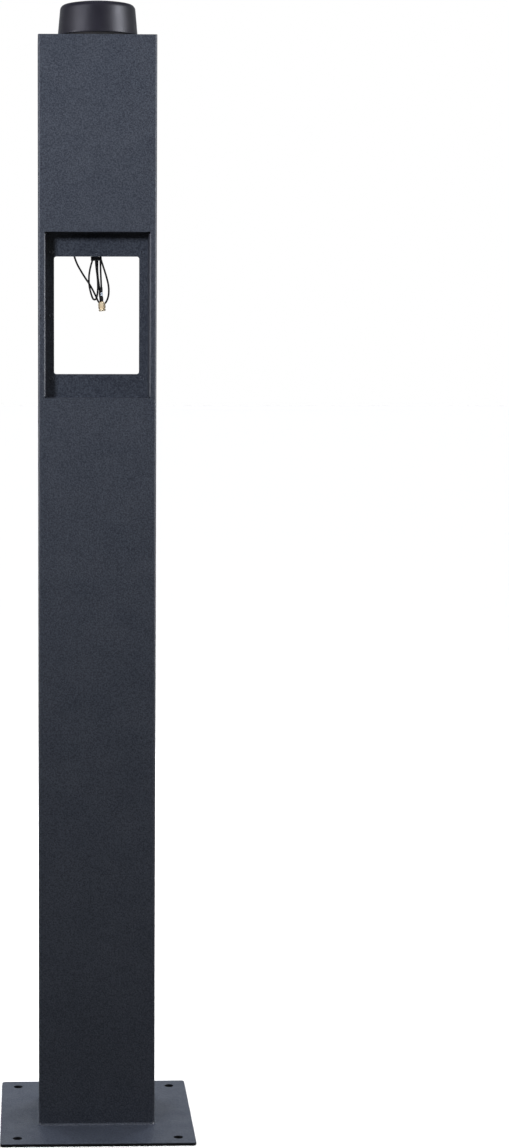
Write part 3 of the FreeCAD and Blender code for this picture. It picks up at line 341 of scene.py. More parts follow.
def couplingNut(plug):
    # six flats under a chamfer cone: the radius is the smaller of the hexagon's and the cone's
    steps = plugSetup["nutSteps"]
    angle = np.linspace(0, 2 * math.pi, steps, endpoint=False)
    sector = np.mod(angle, math.pi / 3) - math.pi / 6
    flat = plugSetup["nutFlats"] / 2
    hexagon = flat / np.cos(sector)
    # from the lead's side to the open end, and back up its mouth
    face = np.minimum(hexagon, flat - plugSetup["nutFace"])
    rim = np.minimum(hexagon, flat)
    corners = np.minimum(hexagon, flat * plugSetup["nutCorners"])
    lip = np.minimum(hexagon, flat * plugSetup["grooveLip"])
    groove = flat * plugSetup["groove"]
    bore, mouth = plugSetup["nutBore"], plugSetup["mouth"]
    start = plug["nutStart"]
    end = start + plugSetup["nutLength"]
    shoulder = end - plugSetup["mouthDepth"]
    profile = [
        (bore, start), (face, start), (rim, start + 0.12), (corners, start + 0.8), (hexagon, start + 1.0),
        (hexagon, end - 3.4), (lip, end - 3.1), (groove, end - 2.9), (groove, end - 2.2), (lip, end - 2.0),
        (hexagon, end - 1.7), (hexagon, end - 0.9), (rim, end - 0.2), (flat - 0.2, end),
        (mouth, end), (mouth, shoulder), (bore, shoulder),
    ]
    return turned(profile, plug["end"], plug["direction"], steps)


def plugBody(plug):
    # a collar with a crimp groove round its neck, and the contact pin in its mouth with a rounded tip
    start = plug["nutStart"] - plugSetup["setback"]
    end = start + plugSetup["bodyLength"]
    tip = end + plugSetup["pinLength"]
    radius, pin = plugSetup["body"], plugSetup["pin"]
    chamfer, crimp = plugSetup["bodyChamfer"], plugSetup["crimp"]
    profile = [
        (0, start), (radius - chamfer, start), (radius, start + chamfer), (radius, start + 0.6),
        (radius - crimp, start + 0.75), (radius - crimp, start + 1.1), (radius, start + 1.25),
        (radius, end - crimp), (radius - crimp, end),
        (pin, end), (pin, tip - plugSetup["pinTip"]), (pin * 0.7, tip - 0.08), (0, tip),
    ]
    return turned(profile, plug["end"], plug["direction"], plugSetup["steps"])


def addPlug(name, plug, sleeves):
    # sleeves: from and to along the plug's axis, and the radius
    boots = joined(name + "Boots", [skin("part", shrunkSleeve(plug, *span)) for span in sleeves])
    boots.shade_smooth()
    nut = skin(name + "Nut", couplingNut(plug), 25, ring=True)
    body = skin(name + "Body", plugBody(plug), 30)
    pieces = [addPiece(name + "Boots", boots, "shrink_sleeve"), addPiece(name + "Nut", nut, "plug_gold"),
              addPiece(name + "Body", body, "plug_gold")]
    for piece, nodeName in zip(pieces, ("lead_boots", "coupling_nuts", "plug_bodies")):
        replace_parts(piece, nodeName)
    return pieces


sleeve, boot = plugSetup["sleeve"], plugSetup["boot"]
frontPlug = addPlug("frontPlug", plugSetup["front"], [(0, 7, sleeve), (12, 19, boot)])
rearPlug = addPlug("rearPlug", plugSetup["rear"], [(0, 13.5, boot)])
markerShape = skin("leadMarker", shrunkSleeve(plugSetup["front"], 7, 12, plugSetup["marker"]))
leadMarker = addPiece("leadMarker", markerShape, "marker_sleeve")
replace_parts(leadMarker, "lead_marker")

# tape tie round the bundle, wound on itself with its end left standing at the left

tieSetup = {
    "centre": (0.8, 8.0),
    "size": (12.6, 6.6),
    "corner": 2.8,
    "level": 1126.0,
    "height": 5.0,
    "edge": 0.15,  # height of the rounded edge
    "waist": 0.3,  # how far the tape pulls in at its middle
    "tapeStep": 0.2,
    "tail": 1.5,  # how far its end stands out, how wide that is in steps, and its depth
    "tailWidth": 1.6,
    "tailDepth": -1.5,
    "waver": 0.12,
    "waverRate": 12.0,
    "steps": 160,
}


def addTie(setup):
    # outline = rounded rectangle + a step that grows over one turn + a narrow fin for the tape's end;
    # the sides pull in a little between the edges, and top and bottom close at the middle
    outline, outward, along = roundedLoop(*setup["size"], setup["corner"], setup["steps"])
    share = along / along[-1]
    leftness = np.abs(outline[:, 0] - outline[:, 0].min())
    tailPlace = np.argmin(leftness + 0.05 * np.abs(outline[:, 1] - setup["tailDepth"]))
    tail = np.exp(-((np.arange(setup["steps"]) - tailPlace) / setup["tailWidth"]) ** 2) * setup["tail"]
    swell = setup["tapeStep"] * share + tail
    half = setup["height"] / 2
    brim = half - setup["edge"]
    level = np.array([-half, -half, -brim, -1.2, 0.0, 1.2, brim, half, half])
    grow = np.array([0, -0.25, 0, -0.18, -setup["waist"], -0.18, 0, -0.25, 0])
    ring = outline[None] + outward[None] * (swell[None, :, None] + grow[:, None, None])
    ring[[0, -1]] = 0
    points = np.concatenate((ring, np.broadcast_to(level[:, None, None], ring.shape[:2] + (1,))), axis=2)
    points[1:-1, :, 2] += setup["waver"] * np.sin(share * setup["waverRate"])[None, :]
    tie = addPiece("leadTie", skin("leadTie", points + (*setup["centre"], setup["level"]), 40), "tie_tape")
    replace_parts(tie, "lead_tie")
    return tie


leadTie = addTie(tieSetup)
print("plugs and tie made")

# antenna cover, one thin moulded shell

coverSetup = {
    "centre": (1.5, 0.0),
    "bottom": postTop + 4.0,  # on its gasket
    "height": 43.0,
    "radius": 51.0,
    "draft": 0.09,  # how far the side leans in per millimetre of height
    "crown": 220.0,  # radii of the crown and of the shoulder
    "shoulder": 7.0,
    "wall": 2.5,
    "lip": 0.8,
    "steps": 128,
    "shoulderRows": 14,
    "crownRows": 18,
    "sideRows": 6,
    "sideMargin": 2,  # between the side's rows and the lip or the shoulder
}


def coverProfile(setup, inset, lip):
    # a side that leans in by the draft, a round shoulder and a shallow spherical crown
    draft = setup["draft"]
    side = setup["radius"] - inset
    top = setup["height"] - inset
    crown = setup["crown"] - inset
    bend = setup["shoulder"] - inset
    # the shoulder's centre lies bend inside the side line and bend inside the crown sphere
    a = 1 + draft ** 2
    inner = side - bend * math.hypot(1, draft)
    b = -2 * (inner * draft + (top - crown))
    c = inner ** 2 + (top - crown) ** 2 - (crown - bend) ** 2
    level = (-b + math.sqrt(b * b - 4 * a * c)) / (2 * a)
    middle = inner - draft * level
    low = math.atan(draft)
    high = math.atan2(level - (top - crown), middle)
    turn = np.linspace(low, high, setup["shoulderRows"])
    shoulder = np.stack((middle + bend * np.cos(turn), level + bend * np.sin(turn)), axis=1)
    swing = np.linspace(high, math.pi / 2, setup["crownRows"])[1:]
    dome = np.stack((crown * np.cos(swing), top - crown + crown * np.sin(swing)), axis=1)
    dome[-1, 0] = 0
    foot = [(side, 0)]
    if lip:
        foot = [(side - lip, 0), (side - lip * 0.3, lip * 0.3), (side - draft * lip, lip)]
    margin = setup["sideMargin"]
    heights = np.linspace(foot[-1][1] + margin, shoulder[0, 1] - margin, setup["sideRows"])
    rise = [(side - draft * height, height) for height in heights]
    return np.vstack((foot, rise, shoulder, dome))


def addCover(setup):
    # the outer profile from the crown down, then the inner one back up, carried round the axis
    outer = coverProfile(setup, 0, setup["lip"])
    inner = coverProfile(setup, setup["wall"], 0)
    profile = np.vstack((outer[::-1], inner))
    points = turned(profile.tolist(), (*setup["centre"], setup["bottom"]), (0, 0, 1), setup["steps"])
    cover = addPiece("antennaCover", skin("antennaCover", points, 30), nodeSlots["antenna_radome"])
    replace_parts(cover, "antenna_radome")


addCover(coverSetup)
print("antenna cover made")

# weld bead round the foot

beadSetup = {
    "size": (tubeHigh - tubeLow)[:2],
    "corner": 3.0,
    "floor": tubeLow[2],
    "leg": 3.0,
    "curve": 1.2,  # how the leg's reach turns into its rise
    "hollow": 0.3,  # share of the leg
    "belly": 0.45,
    "ripple": 0.16,
    "pitch": 1.9,
    "lag": 1.6,  # how far a crest trails at the bead's middle, in radians
    "wander": 0.09,
    "steps": 1040,
    "rows": 9,
}


def addBead(setup):
    # a fillet from the plate up the post's face: reach = leg * (1 - across ^ curve) and rise = leg *
    # across ^ curve, both less the hollow and plus the belly and its ripples; each ripple is a curved
    # crest, and the leg wanders a little as a hand weld's does
    outline, outward, along = roundedLoop(*setup["size"], setup["corner"], setup["steps"])
    across = np.linspace(0, 1, setup["rows"])
    arch = np.sin(math.pi * across)[:, None]
    whole = round(along[-1] / setup["pitch"])
    phase = 2 * math.pi * whole * along / along[-1]
    slow, quick = phase / whole * 7, phase / whole * 19 + 1.0
    leg = setup["leg"] * (1 - setup["wander"] * (1 + np.sin(slow) * np.sin(quick)) / 2)[None]
    crest = 0.5 + 0.5 * np.cos(phase[None] - setup["lag"] * arch)
    belly = setup["belly"] * arch + setup["ripple"] * crest * arch
    hollow = setup["hollow"] * setup["leg"] * arch
    reach = leg * (1 - across[:, None] ** setup["curve"]) - hollow + belly
    rise = leg * across[:, None] ** setup["curve"] - hollow + belly
    reach = np.vstack((reach, np.zeros_like(reach[:1])))
    rise = np.vstack((rise, np.zeros_like(rise[:1])))
    flat = outline[None] + outward[None] * reach[:, :, None]
    points = np.concatenate((flat, (setup["floor"] + rise)[:, :, None]), axis=2)
    bead = addPiece("footWeld", skin("footWeld", points, 60, ring=True), nodeSlots["base_weld"])
    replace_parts(bead, "base_weld")


addBead(beadSetup)
print("foot weld made")

# threaded studs

studPitch = (58.5, 80.5)  # between the reader's studs, across and up
recessMiddle = (recessLow[2] + recessHigh[2]) / 2
readerPlaces = [
    (x, recessMiddle + z)
    for x in (-studPitch[0], 0, studPitch[0])
    for z in (-studPitch[1], 0, studPitch[1])
    if x or z
]
threadSetup = {
    "reader_studs": {"radius": 2.0, "pitch": 0.7, "length": 12.0, "direction": (0, 1, 0),
                     "starts": [(x, recessHigh[1], z) for x, z in readerPlaces]},
    "gear_studs": {"radius": 2.5, "pitch": 0.8, "length": 22.0, "direction": (0, 1, 0),
                   "starts": [(x, tubeLow[1] + sheet, z) for x in (gearLow[0] + 8, gearHigh[0] - 8)
                              for z in (gearLow[2] + 10, gearHigh[2] - 10)]},
    "earth_stud": {"radius": 4.0, "pitch": 1.25, "length": 22.0, "direction": (-1, 0, 0),
                   "starts": [(tubeHigh[0] - sheet, 22.0, 676.0)]},
}
threadForm = {
    "depth": 0.55,  # share of the pitch
    "tipTaper": 0.8,
    "steps": 20,
    "rowsPerTurn": 6,
}


def threadedRod(start, setup, form):
    # radius = nominal - depth * triangle(height / pitch - angle / turn), drawn in at the tip
    steps = form["steps"]
    rows = int(setup["length"] / setup["pitch"] * form["rowsPerTurn"])
    height = np.linspace(0, setup["length"], rows)
    angle = np.linspace(0, 1, steps, endpoint=False)
    wave = np.abs(2 * np.mod(height[:, None] / setup["pitch"] - angle[None], 1) - 1)
    radius = setup["radius"] - form["depth"] * setup["pitch"] * wave
    lastTurn = np.clip(height - setup["length"] + setup["pitch"], 0, None)[:, None]
    radius = np.minimum(radius, setup["radius"] - lastTurn * form["tipTaper"])
    profile = [(0.0, 0.0)] + list(zip(radius, height)) + [(0.0, setup["length"])]
    return turned(profile, start, setup["direction"], steps)


for nodeName, setup in threadSetup.items():
    pieceName = nodeName.replace("_s", "S") + "Threads"
    grids = [threadedRod(start, setup, threadForm) for start in setup["starts"]]
    rods = joined(pieceName, [skin("rod", grid, 50) for grid in grids])
    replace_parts(addPiece(pieceName, rods, nodeSlots[nodeName]), nodeName)
print("threads cut")

# witness marks that the studs' welds leave on the recess's back panel

markSetup = {
    "radius": 3.4,
    "ring": 2.3,
    "ringWidth": 0.6,
    "rise": 0.36,
    "middle": 0.25,  # share of the rise
    "root": -0.5,  # inside the sheet
    "face": recessHigh[1] - sheet,
    "steps": 24,
    "rows": 12,
}


def studMark(place, setup):
    # a shallow ring above the panel: rise * (exp(-((r - ring) / width) ^ 2) + middle * (1 - r / radius)),
    # closed a little inside the sheet
    radii = np.linspace(0, setup["radius"], setup["rows"])
    ring = np.exp(-((radii - setup["ring"]) / setup["ringWidth"]) ** 2)
    height = setup["rise"] * (ring + setup["middle"] * (1 - radii / setup["radius"]))
    profile = [(0.0, setup["root"]), (setup["radius"], setup["root"])] + list(zip(radii[::-1], height[::-1]))
    return turned(profile, (place[0], setup["face"], place[1]), (0, -1, 0), setup["steps"])


marks = joined("studMarks", [skin("mark", studMark(place, markSetup), 50) for place in readerPlaces])
addPiece("studMarks", marks, nodeSlots["recess_tray"])
print("weld marks made")

# pan-head screws with cross recesses

screwSetup = {
    "head": 3.6,  # radii of the head and the shank
    "shank": 2.0,
    "rise": 2.4,
    "brim": 0.7,
    "fall": 0.35,  # share of the rise by which the dome is lower at its edge
    "roundness": 3.5,
    "length": 8.0,
    "arm": 2.1,  # the cross: half its length, half its width and its depth
    "slot": 0.5,
    "depth": 1.4,
    "wall": 0.16,  # how much room the cross's sloping walls take, and its ends
    "ends": 0.2,
    "steps": 64,
}
supplyThird = 82.0 / 3  # of the supply's height, above and below its middle
screwPlaces = {  # the undersides of the heads
    "supply_screws": [(x, -37.5, 880.0 + z) for x in (-52.0, 52.0) for z in (-supplyThird, supplyThird)],
    "rail_screws": [(x, -38.0, 765.0) for x in (-45.0, 45.0)],
    "clamp_screws": [(42.0 + x, -36.5, 712.0) for x in (-14.5, 14.5)],
}


def panScrew(place, setup):
    # a low dome, rise * (1 - fall * (r / head) ^ roundness), whose height drops inside a cross: |x| or
    # |z| under the slot and inside the arm
    steps = setup["steps"]
    angle = np.linspace(0, 2 * math.pi, steps, endpoint=False)
    radii = np.array([0, 0.3, 0.45, 0.55, 0.7, 1.0, 1.4, 1.8, 2.0, 2.2, 2.6, 3.1, 3.4, 3.58])
    dome = setup["rise"] * (1 - setup["fall"] * (radii / setup["head"]) ** setup["roundness"])
    near = np.minimum(np.abs(np.cos(angle)), np.abs(np.sin(angle)))[None] * radii[:, None]
    inSlot = np.clip((setup["slot"] + setup["wall"] / 2 - near) / setup["wall"], 0, 1)
    inArm = np.clip((setup["arm"] - radii) / setup["ends"], 0, 1)[:, None]
    height = dome[:, None] - setup["depth"] * (inSlot * inArm)
    points = np.empty((len(radii) + 5, steps, 3))
    points[:len(radii)] = turned([(r, 0) for r in radii], place, (0, 1, 0), steps)
    points[:len(radii), :, 1] += height
    lower = [(setup["head"], setup["brim"]), (setup["head"] - 0.1, 0), (setup["shank"], 0),
             (setup["shank"], -setup["length"]), (0, -setup["length"])]
    points[len(radii):] = turned(lower, place, (0, 1, 0), steps)
    return points


for nodeName, places in screwPlaces.items():
    pieceName = nodeName.replace("_s", "S")
    heads = joined(pieceName, [skin("screw", panScrew(place, screwSetup), 30) for place in places])
    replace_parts(addPiece(pieceName, heads, nodeSlots[nodeName]), nodeName)
print("screws made")

# CAD parts whose edges are eased: the new piece, the edge's width and the body it rides on

easedParts = {
    "base_plate": ("basePlate", 0.5, "post"),
    "post_shell": ("postShell", 0.25, "post"),
    "recess_tray": ("recessTray", 0.25, "post"),
    "top_plate": ("topPlate", 0.3, "post"),
    "rear_door": ("rearDoor", 0.4, "rear_door"),
    "gear_plate": ("gearPlate", 0.3, "post"),
    "breaker_body": ("breakerBody", 0.4, "post"),
    "breaker_toggle": ("breakerLever", 0.5, "breaker_toggle"),
    "terminals": ("railTerminals", 0.25, "post"),
    "earth_terminal": ("earthTerminal", 0.25, "post"),
    "end_stops": ("endStops", 0.3, "post"),
    "supply_terminals": ("supplyTerminals", 0.2, "post"),
    "supply_cover": ("supplyCover", 0.2, "post"),
    "cable_clamp": ("cableClamp", 0.4, "post"),
    "din_rail": ("dinRail", 0.15, "post"),
}
for nodeName, (pieceName, width, body) in easedParts.items():
    softened(nodeName, pieceName, width, body, easing)
print("edges eased")

# finishes, where base is two tones, rough a range, grain and cloud the noise cells per metre, depth
# the bump in metres, metal a share, stretch how far the grain is drawn out along x, y and z, fleck how
# far its tone covers the grain's peaks, paintedShade a near-black tone painted as shade below the given
# height, on the base plate's cut edge, stripes a tone and the bands per metre, and spangle and traces
# cells per metre

finishes = {
    "post_paint": dict(
        base=((0.0185, 0.022, 0.0335), (0.0225, 0.0265, 0.040)), rough=(0.40, 0.52), grain=560,
        depth=0.0005, cloud=9, fleck=0.78, fleckTone=(0.070, 0.082, 0.107),
        # painted shade: near black below 3.4 mm, which darkens the base plate's cut edge
        paintedShade=((0.003, 0.003, 0.004), 0.0034),
    ),
    "antenna_plastic": dict(
        base=((0.011, 0.0105, 0.016), (0.0155, 0.015, 0.024)), rough=(0.40, 0.50), grain=1100,
        depth=0.00007, cloud=14,
    ),
    "foam_rubber": dict(
        base=((0.012, 0.012, 0.013), (0.03, 0.03, 0.032)), rough=(0.85, 0.98), grain=1400, depth=0.0002,
        cloud=60,
    ),
    "stud_steel": dict(
        base=((0.30, 0.28, 0.26), (0.42, 0.41, 0.40)), rough=(0.3, 0.5), grain=900, depth=0.00001,
        cloud=120, metal=1,
    ),
    "zinc_steel": dict(
        base=((0.50, 0.51, 0.53), (0.66, 0.65, 0.60)), rough=(0.22, 0.42), grain=700, depth=0.000015,
        cloud=90, metal=1,
    ),
    "lock_chrome": dict(
        base=((0.72, 0.73, 0.75), (0.82, 0.82, 0.83)), rough=(0.12, 0.24), grain=900, depth=0.000006,
        cloud=70, metal=1, stretch=(1, 1, 12),
    ),
    "brass": dict(
        base=((0.60, 0.42, 0.16), (0.72, 0.53, 0.24)), rough=(0.22, 0.4), grain=900, depth=0.00001,
        cloud=120, metal=1,
    ),
    "plug_gold": dict(
        base=((0.97, 0.72, 0.42), (1.0, 0.88, 0.66)), rough=(0.16, 0.28), grain=1800, depth=0.000008,
        cloud=260, metal=0.25,
    ),
    "galvanised_sheet": dict(
        base=((0.42, 0.44, 0.46), (0.62, 0.64, 0.66)), rough=(0.32, 0.55), grain=500, depth=0.00001,
        cloud=30, metal=1, spangle=140,
    ),
    "supply_aluminium": dict(
        base=((0.60, 0.61, 0.62), (0.74, 0.75, 0.76)), rough=(0.28, 0.44), grain=260, depth=0.00001,
        cloud=25, metal=1, stretch=(0.08, 1, 9),
    ),
    "circuit_board": dict(
        base=((0.010, 0.060, 0.024), (0.016, 0.10, 0.04)), rough=(0.28, 0.4), grain=1500, depth=0.00001,
        cloud=60, traces=230,
    ),
    "patch_ceramic": dict(
        base=((0.50, 0.40, 0.29), (0.62, 0.52, 0.40)), rough=(0.5, 0.7), grain=1700, depth=0.00003,
        cloud=150,
    ),
    "potting_resin": dict(
        base=((0.008, 0.008, 0.009), (0.014, 0.014, 0.015)), rough=(0.12, 0.3), grain=300, depth=0.00004,
        cloud=120,
    ),
    "black_plastic": dict(
        base=((0.014, 0.014, 0.016), (0.022, 0.022, 0.024)), rough=(0.42, 0.58), grain=2200,
        depth=0.00003, cloud=50,
    ),
    "white_plastic": dict(
        base=((0.62, 0.62, 0.60), (0.70, 0.70, 0.68)), rough=(0.42, 0.55), grain=2200, depth=0.00002,
        cloud=30,
    ),
    "toggle_plastic": dict(
        base=((0.016, 0.016, 0.018), (0.026, 0.026, 0.028)), rough=(0.3, 0.42), grain=2400, depth=0.00002,
        cloud=60,
    ),
    "grey_plastic": dict(
        base=((0.33, 0.34, 0.35), (0.42, 0.43, 0.44)), rough=(0.45, 0.6), grain=2200, depth=0.00002,
        cloud=60,
    ),
    "earth_green": dict(
        base=((0.10, 0.32, 0.05), (0.14, 0.40, 0.07)), rough=(0.42, 0.55), grain=2200, depth=0.00002,
        cloud=60, stripes=((0.75, 0.60, 0.04), 130),
    ),
    "lead_sheath": dict(
        base=((0.010, 0.010, 0.011), (0.018, 0.018, 0.020)), rough=(0.36, 0.52), grain=2600,
        depth=0.00002, cloud=90,
    ),
    "tie_tape": dict(
        base=((0.05, 0.053, 0.058), (0.11, 0.115, 0.125)), rough=(0.25, 0.5), grain=1200, depth=0.00005,
        cloud=180,
    ),
    "shrink_sleeve": dict(
        base=((0.014, 0.014, 0.015), (0.026, 0.026, 0.028)), rough=(0.5, 0.7), grain=1800, depth=0.00004,
        cloud=260,
    ),
    "marker_sleeve": dict(
        base=((0.50, 0.62, 0.80), (0.78, 0.84, 0.92)), rough=(0.35, 0.5), grain=1500, depth=0.00002,
        cloud=520,
    ),
}

pattern = {
    "noiseRoughness": 0.55,
    "grainDetail": 3,
    "cloudDetail": 4,
    "fleckSpan": (0.35, 0.65),
    "spangleShare": 0.5,
    "spangleSpan": (0.2, 0.8),
    "traceTone": (0.05, 0.24, 0.09),
    "traceShare": 0.6,
    "traceSpan": (0.02, 0.08),
    "stripeTurn": 6.28,  # a wave node's scale counts turns
    "stripeSpan": (0.48, 0.52),
    "paintedShadeFade": 0.0003,
    "bump": 0.6,
    "wear": 3.3,  # patches of roughness for each patch of tone
}


class Finish:
    # one material's node tree, with the few links that every finish shares
    def __init__(self, name):
        self.material = bpy.data.materials.new(name)
        self.material.use_nodes = True
        self.tree = self.material.node_tree
        self.shader = self.tree.nodes["Principled BSDF"]
        self.coords = self.tree.nodes.new("ShaderNodeTexCoord").outputs["Object"]

    def add(self, kind, inputs=None, **settings):
        node = self.tree.nodes.new(kind)
        for key, value in settings.items():
            setattr(node, key, value)
        for key, value in (inputs or {}).items():
            if isinstance(value, bpy.types.NodeSocket):
                self.tree.links.new(value, node.inputs[key])
            else:
                node.inputs[key].default_value = value
        return node

    def noise(self, scale, detail, vector=None):
        inputs = {"Vector": vector or self.coords, "Scale": scale, "Detail": detail,
                  "Roughness": pattern["noiseRoughness"]}
        return self.add("ShaderNodeTexNoise", inputs).outputs["Fac"]

    def tones(self, factor, low, high, start=0.3, end=0.7):
        ramp = self.add("ShaderNodeValToRGB", {"Fac": factor})
        ramp.color_ramp.elements[0].position = start
        ramp.color_ramp.elements[1].position = end
        ramp.color_ramp.elements[0].color = (*low, 1)
        ramp.color_ramp.elements[1].color = (*high, 1)
        return ramp.outputs["Color"]

    def over(self, factor, below, above):
        # the colour mix's own factor, A and B are its sockets 0, 6 and 7
        mix = self.add("ShaderNodeMix", data_type="RGBA")
        for place, value in ((0, factor), (6, below), (7, above)):
            if isinstance(value, bpy.types.NodeSocket):
                self.tree.links.new(value, mix.inputs[place])
            else:
                mix.inputs[place].default_value = value if place == 0 else (*value, 1)
        return mix.outputs[2]

    def span(self, value, low, high, start=0.3, end=0.7):
        inputs = {"Value": value, "From Min": start, "From Max": end, "To Min": low, "To Max": high}
        return self.add("ShaderNodeMapRange", inputs).outputs["Result"]


def makeFinish(name, look):
    # two tones by a cloudy noise, then whatever lies over them, and a fine grain as bump
    finish = Finish(name)
    stretch = look.get("stretch", (1, 1, 1))
    drawn = finish.add("ShaderNodeMapping", {"Vector": finish.coords, "Scale": stretch}).outputs["Vector"]
    grain = finish.noise(look["grain"], pattern["grainDetail"], drawn)
    cloud = finish.noise(look["cloud"], pattern["cloudDetail"])
    colour = finish.tones(cloud, *look["base"])
    if "fleck" in look:
        peaks = finish.span(grain, 0, look["fleck"], *pattern["fleckSpan"])
        colour = finish.over(peaks, colour, look["fleckTone"])
    if "spangle" in look:
        cells = finish.add("ShaderNodeTexVoronoi", {"Vector": finish.coords, "Scale": look["spangle"]})
        grey = finish.add("ShaderNodeRGBToBW", {"Color": cells.outputs["Color"]}).outputs["Val"]
        crystals = finish.tones(grey, *look["base"], *pattern["spangleSpan"])
        colour = finish.over(pattern["spangleShare"], colour, crystals)
    if "traces" in look:
        lines = finish.add("ShaderNodeTexVoronoi", {"Vector": finish.coords, "Scale": look["traces"]},
                           feature="DISTANCE_TO_EDGE")
        near = finish.span(lines.outputs["Distance"], pattern["traceShare"], 0, *pattern["traceSpan"])
        colour = finish.over(near, colour, pattern["traceTone"])
    if "stripes" in look:
        bandTone, bands = look["stripes"]
        inputs = {"Vector": finish.coords, "Scale": bands / pattern["stripeTurn"], "Distortion": 0.0}
        wave = finish.add("ShaderNodeTexWave", inputs, bands_direction="DIAGONAL").outputs["Fac"]
        colour = finish.over(finish.span(wave, 0, 1, *pattern["stripeSpan"]), colour, bandTone)
    # painted shade: everything below the given height, which is the base plate's cut edge, turns near black
    if "paintedShade" in look:
        paintedShadeTone, paintedShadeTop = look["paintedShade"]
        height = finish.add("ShaderNodeSeparateXYZ", {"Vector": finish.coords}).outputs["Z"]
        low = finish.span(height, 1, 0, paintedShadeTop - pattern["paintedShadeFade"], paintedShadeTop)
        colour = finish.over(low, colour, paintedShadeTone)
    relief = {"Height": grain, "Strength": pattern["bump"], "Distance": look["depth"]}
    bump = finish.add("ShaderNodeBump", relief)
    wear = finish.noise(look["cloud"] * pattern["wear"], pattern["grainDetail"])
    finish.tree.links.new(colour, finish.shader.inputs["Base Color"])
    finish.tree.links.new(finish.span(wear, *look["rough"]), finish.shader.inputs["Roughness"])
    finish.tree.links.new(bump.outputs["Normal"], finish.shader.inputs["Normal"])
    finish.shader.inputs["Metallic"].default_value = look.get("metal", 0)
    return finish.material


materials = {slot: makeFinish(slot, look) for slot, look in finishes.items()}
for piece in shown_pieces():
    slot = piece.get("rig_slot") or nodeSlots[piece["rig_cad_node"]]
    piece.data.materials.clear()
    piece.data.materials.append(materials[slot])
print("finishes applied:", len(materials))

# room: pale floor and backdrop, soft lights

roomSetup = {
    "floor": (0.80, 0.80, 0.81),
    "floorBounce": 0.05,
    "floorReach": 30.0,
    "backdrop": (1.0, 1.0, 1.0),
    "ambient": (0.022, 0.62),  # towards the front, and behind the post near the horizon
    "ambientAxis": (0, 0.9, -0.55),
    "ambientSpan": (0.1, 0.8),
    "ambientTint": (0.90, 0.95, 1.0),
    "padReach": 0.118,
    "padLevel": 0.0002,
    "padTone": 0.004,
}
lights = {
    "key": dict(
        place=(-0.50, -1.25, 1.42), target=(0, 0, 1.72), size=(0.2, 0.2), power=19.5, gloss=False,
    ),
    "leftStrip": dict(
        place=(-1.8, -0.78, 1.15), target=(0, 0, 1.15), size=(0.3, 1.0), power=26, tint=(0.92, 0.93, 1.0),
        diffuse=False,
    ),
    "leftHigh": dict(
        place=(-1.46, -1.36, 2.07), target=(0, 0, 1.43), size=(0.75, 0.3), power=11,
        tint=(0.86, 0.87, 1.0), diffuse=False,
    ),
    "rightStrip": dict(
        place=(1.85, -0.72, 1.15), target=(0, 0, 1.15), size=(0.3, 1.0), power=44, tint=(0.92, 0.94, 1.0),
        diffuse=False,
    ),
    "rightHigh": dict(
        place=(1.8, -0.9, 2.07), target=(0, 0, 1.43), size=(0.7, 0.3), power=21, tint=(0.86, 0.88, 1.0),
        diffuse=False,
    ),
    "fill": dict(place=(1.2, -0.9, 2.1), target=(0, 0, 1.5), size=(0.5, 0.4), power=6, gloss=False),
    "rearRight": dict(place=(1.6, 2.2, 1.5), target=(0, 0, 0.9), size=(1.0, 1.6), power=55, gloss=False),
    "rearLeft": dict(place=(-1.8, 1.9, 1.4), target=(0, 0, 0.9), size=(1.0, 1.6), power=45, gloss=False),
}
overhead = {"strength": 3.75, "angle": 50.0, "place": (0, 0.3, 4), "target": (0, 0, 0), "gloss": False}


def seenOrLighting(tree, lighting, seen, output):
    # what is seen directly is pale, and what it throws on the object is dimmer
    path = tree.nodes.new("ShaderNodeLightPath")
    mix = tree.nodes.new("ShaderNodeMixShader")
    out = tree.nodes.new(output)
    tree.links.new(path.outputs["Is Camera Ray"], mix.inputs[0])
    tree.links.new(lighting.outputs[0], mix.inputs[1])
    tree.links.new(seen.outputs[0], mix.inputs[2])
    tree.links.new(mix.outputs[0], out.inputs["Surface"])


def addWorld(setup):
    world = bpy.data.worlds.new("studio")
    bpy.context.scene.world = world
    world.use_nodes = True
    tree = world.node_tree
    tree.nodes.clear()
    lighting = tree.nodes.new("ShaderNodeBackground")
    lighting.inputs["Color"].default_value = (*setup["ambientTint"], 1)
    # brightness grows with the ray's share of the way back, and falls with its height
    direction = tree.nodes.new("ShaderNodeTexCoord").outputs["Generated"]
    share = tree.nodes.new("ShaderNodeVectorMath")
    share.operation = "DOT_PRODUCT"
    share.inputs[1].default_value = setup["ambientAxis"]
    tree.links.new(direction, share.inputs[0])
    ramp = tree.nodes.new("ShaderNodeMapRange")
    ramp.inputs["From Min"].default_value, ramp.inputs["From Max"].default_value = setup["ambientSpan"]
    ramp.inputs["To Min"].default_value, ramp.inputs["To Max"].default_value = setup["ambient"]
    tree.links.new(share.outputs["Value"], ramp.inputs["Value"])
    tree.links.new(ramp.outputs["Result"], lighting.inputs["Strength"])
    seen = tree.nodes.new("ShaderNodeBackground")
    seen.inputs["Color"].default_value = (*setup["backdrop"], 1)
    seenOrLighting(tree, lighting, seen, "ShaderNodeOutputWorld")


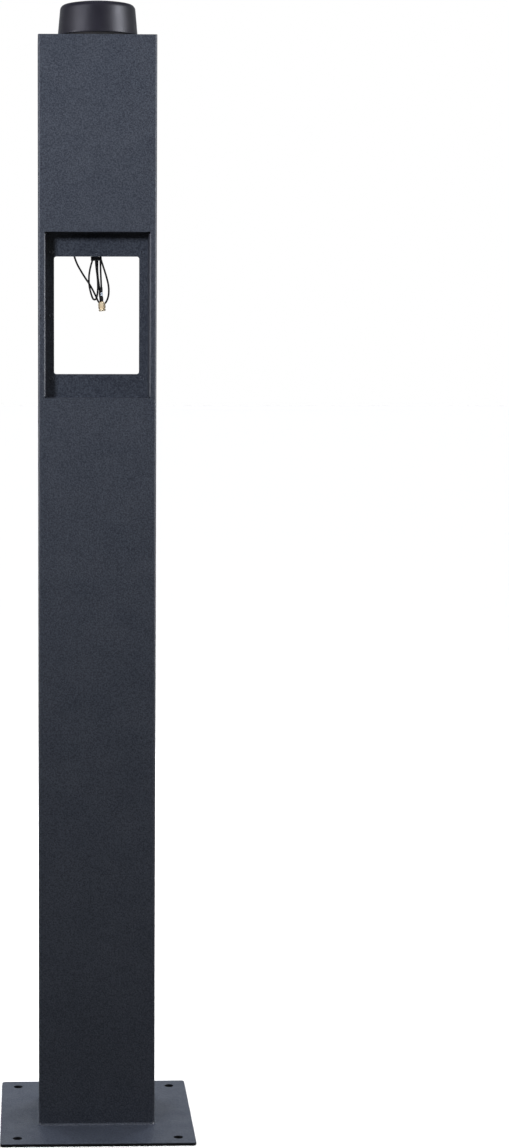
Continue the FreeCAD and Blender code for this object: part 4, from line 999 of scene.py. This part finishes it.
def addSquare(name, reach, level):
    # a level square round the post's axis, which isn't part of the object, and its new material
    mesh = bpy.data.meshes.new(name)
    turns = ((-1, -1), (1, -1), (1, 1), (-1, 1))
    mesh.from_pydata([(reach * x, reach * y, level) for x, y in turns], [], [(0, 1, 2, 3)])
    square = bpy.data.objects.new(name, mesh)
    bpy.context.scene.collection.objects.link(square)
    material = bpy.data.materials.new(name)
    material.use_nodes = True
    mesh.materials.append(material)
    return material


def addFloor(setup):
    tree = addSquare("floor", setup["floorReach"], 0).node_tree
    tree.nodes.clear()
    lighting = tree.nodes.new("ShaderNodeBsdfDiffuse")
    lighting.inputs["Color"].default_value = (setup["floorBounce"],) * 3 + (1,)
    seen = tree.nodes.new("ShaderNodeBsdfDiffuse")
    seen.inputs["Color"].default_value = (*setup["floor"], 1)
    seenOrLighting(tree, lighting, seen, "ShaderNodeOutputMaterial")


def addPad(setup):
    # a near-black square just above the floor under the plate: painted shade, which shows only through the
    # plate's holes
    tree = addSquare("shadedGround", setup["padReach"], setup["padLevel"]).node_tree
    shader = tree.nodes["Principled BSDF"]
    shader.inputs["Base Color"].default_value = (setup["padTone"],) * 3 + (1,)
    shader.inputs["Roughness"].default_value = 1.0


def addLamp(name, data, setup):
    # a lamp turned towards its target, which may light only the gloss or only the rest
    place = Vector(setup["place"])
    lamp = bpy.data.objects.new(name, data)
    lamp.location = place
    lamp.rotation_euler = (Vector(setup["target"]) - place).to_track_quat("-Z", "Y").to_euler()
    lamp.visible_glossy = setup.get("gloss", True)
    lamp.visible_diffuse = setup.get("diffuse", True)
    bpy.context.scene.collection.objects.link(lamp)


def addLight(name, setup):
    data = bpy.data.lights.new(name, "AREA")
    data.shape = "RECTANGLE"
    data.size, data.size_y = setup["size"]
    data.energy = setup["power"]
    data.color = setup.get("tint", (1, 1, 1))
    addLamp(name, data, setup)


def addOverhead(setup):
    data = bpy.data.lights.new("overhead", "SUN")
    data.energy = setup["strength"]
    data.angle = math.radians(setup["angle"])
    addLamp("overhead", data, setup)


addWorld(roomSetup)
addFloor(roomSetup)
addPad(roomSetup)
addOverhead(overhead)
for lightName, lightSetup in lights.items():
    addLight(lightName, lightSetup)
bpy.context.scene.view_settings.view_transform = "Standard"
print("room lit")

# the end

print("done")
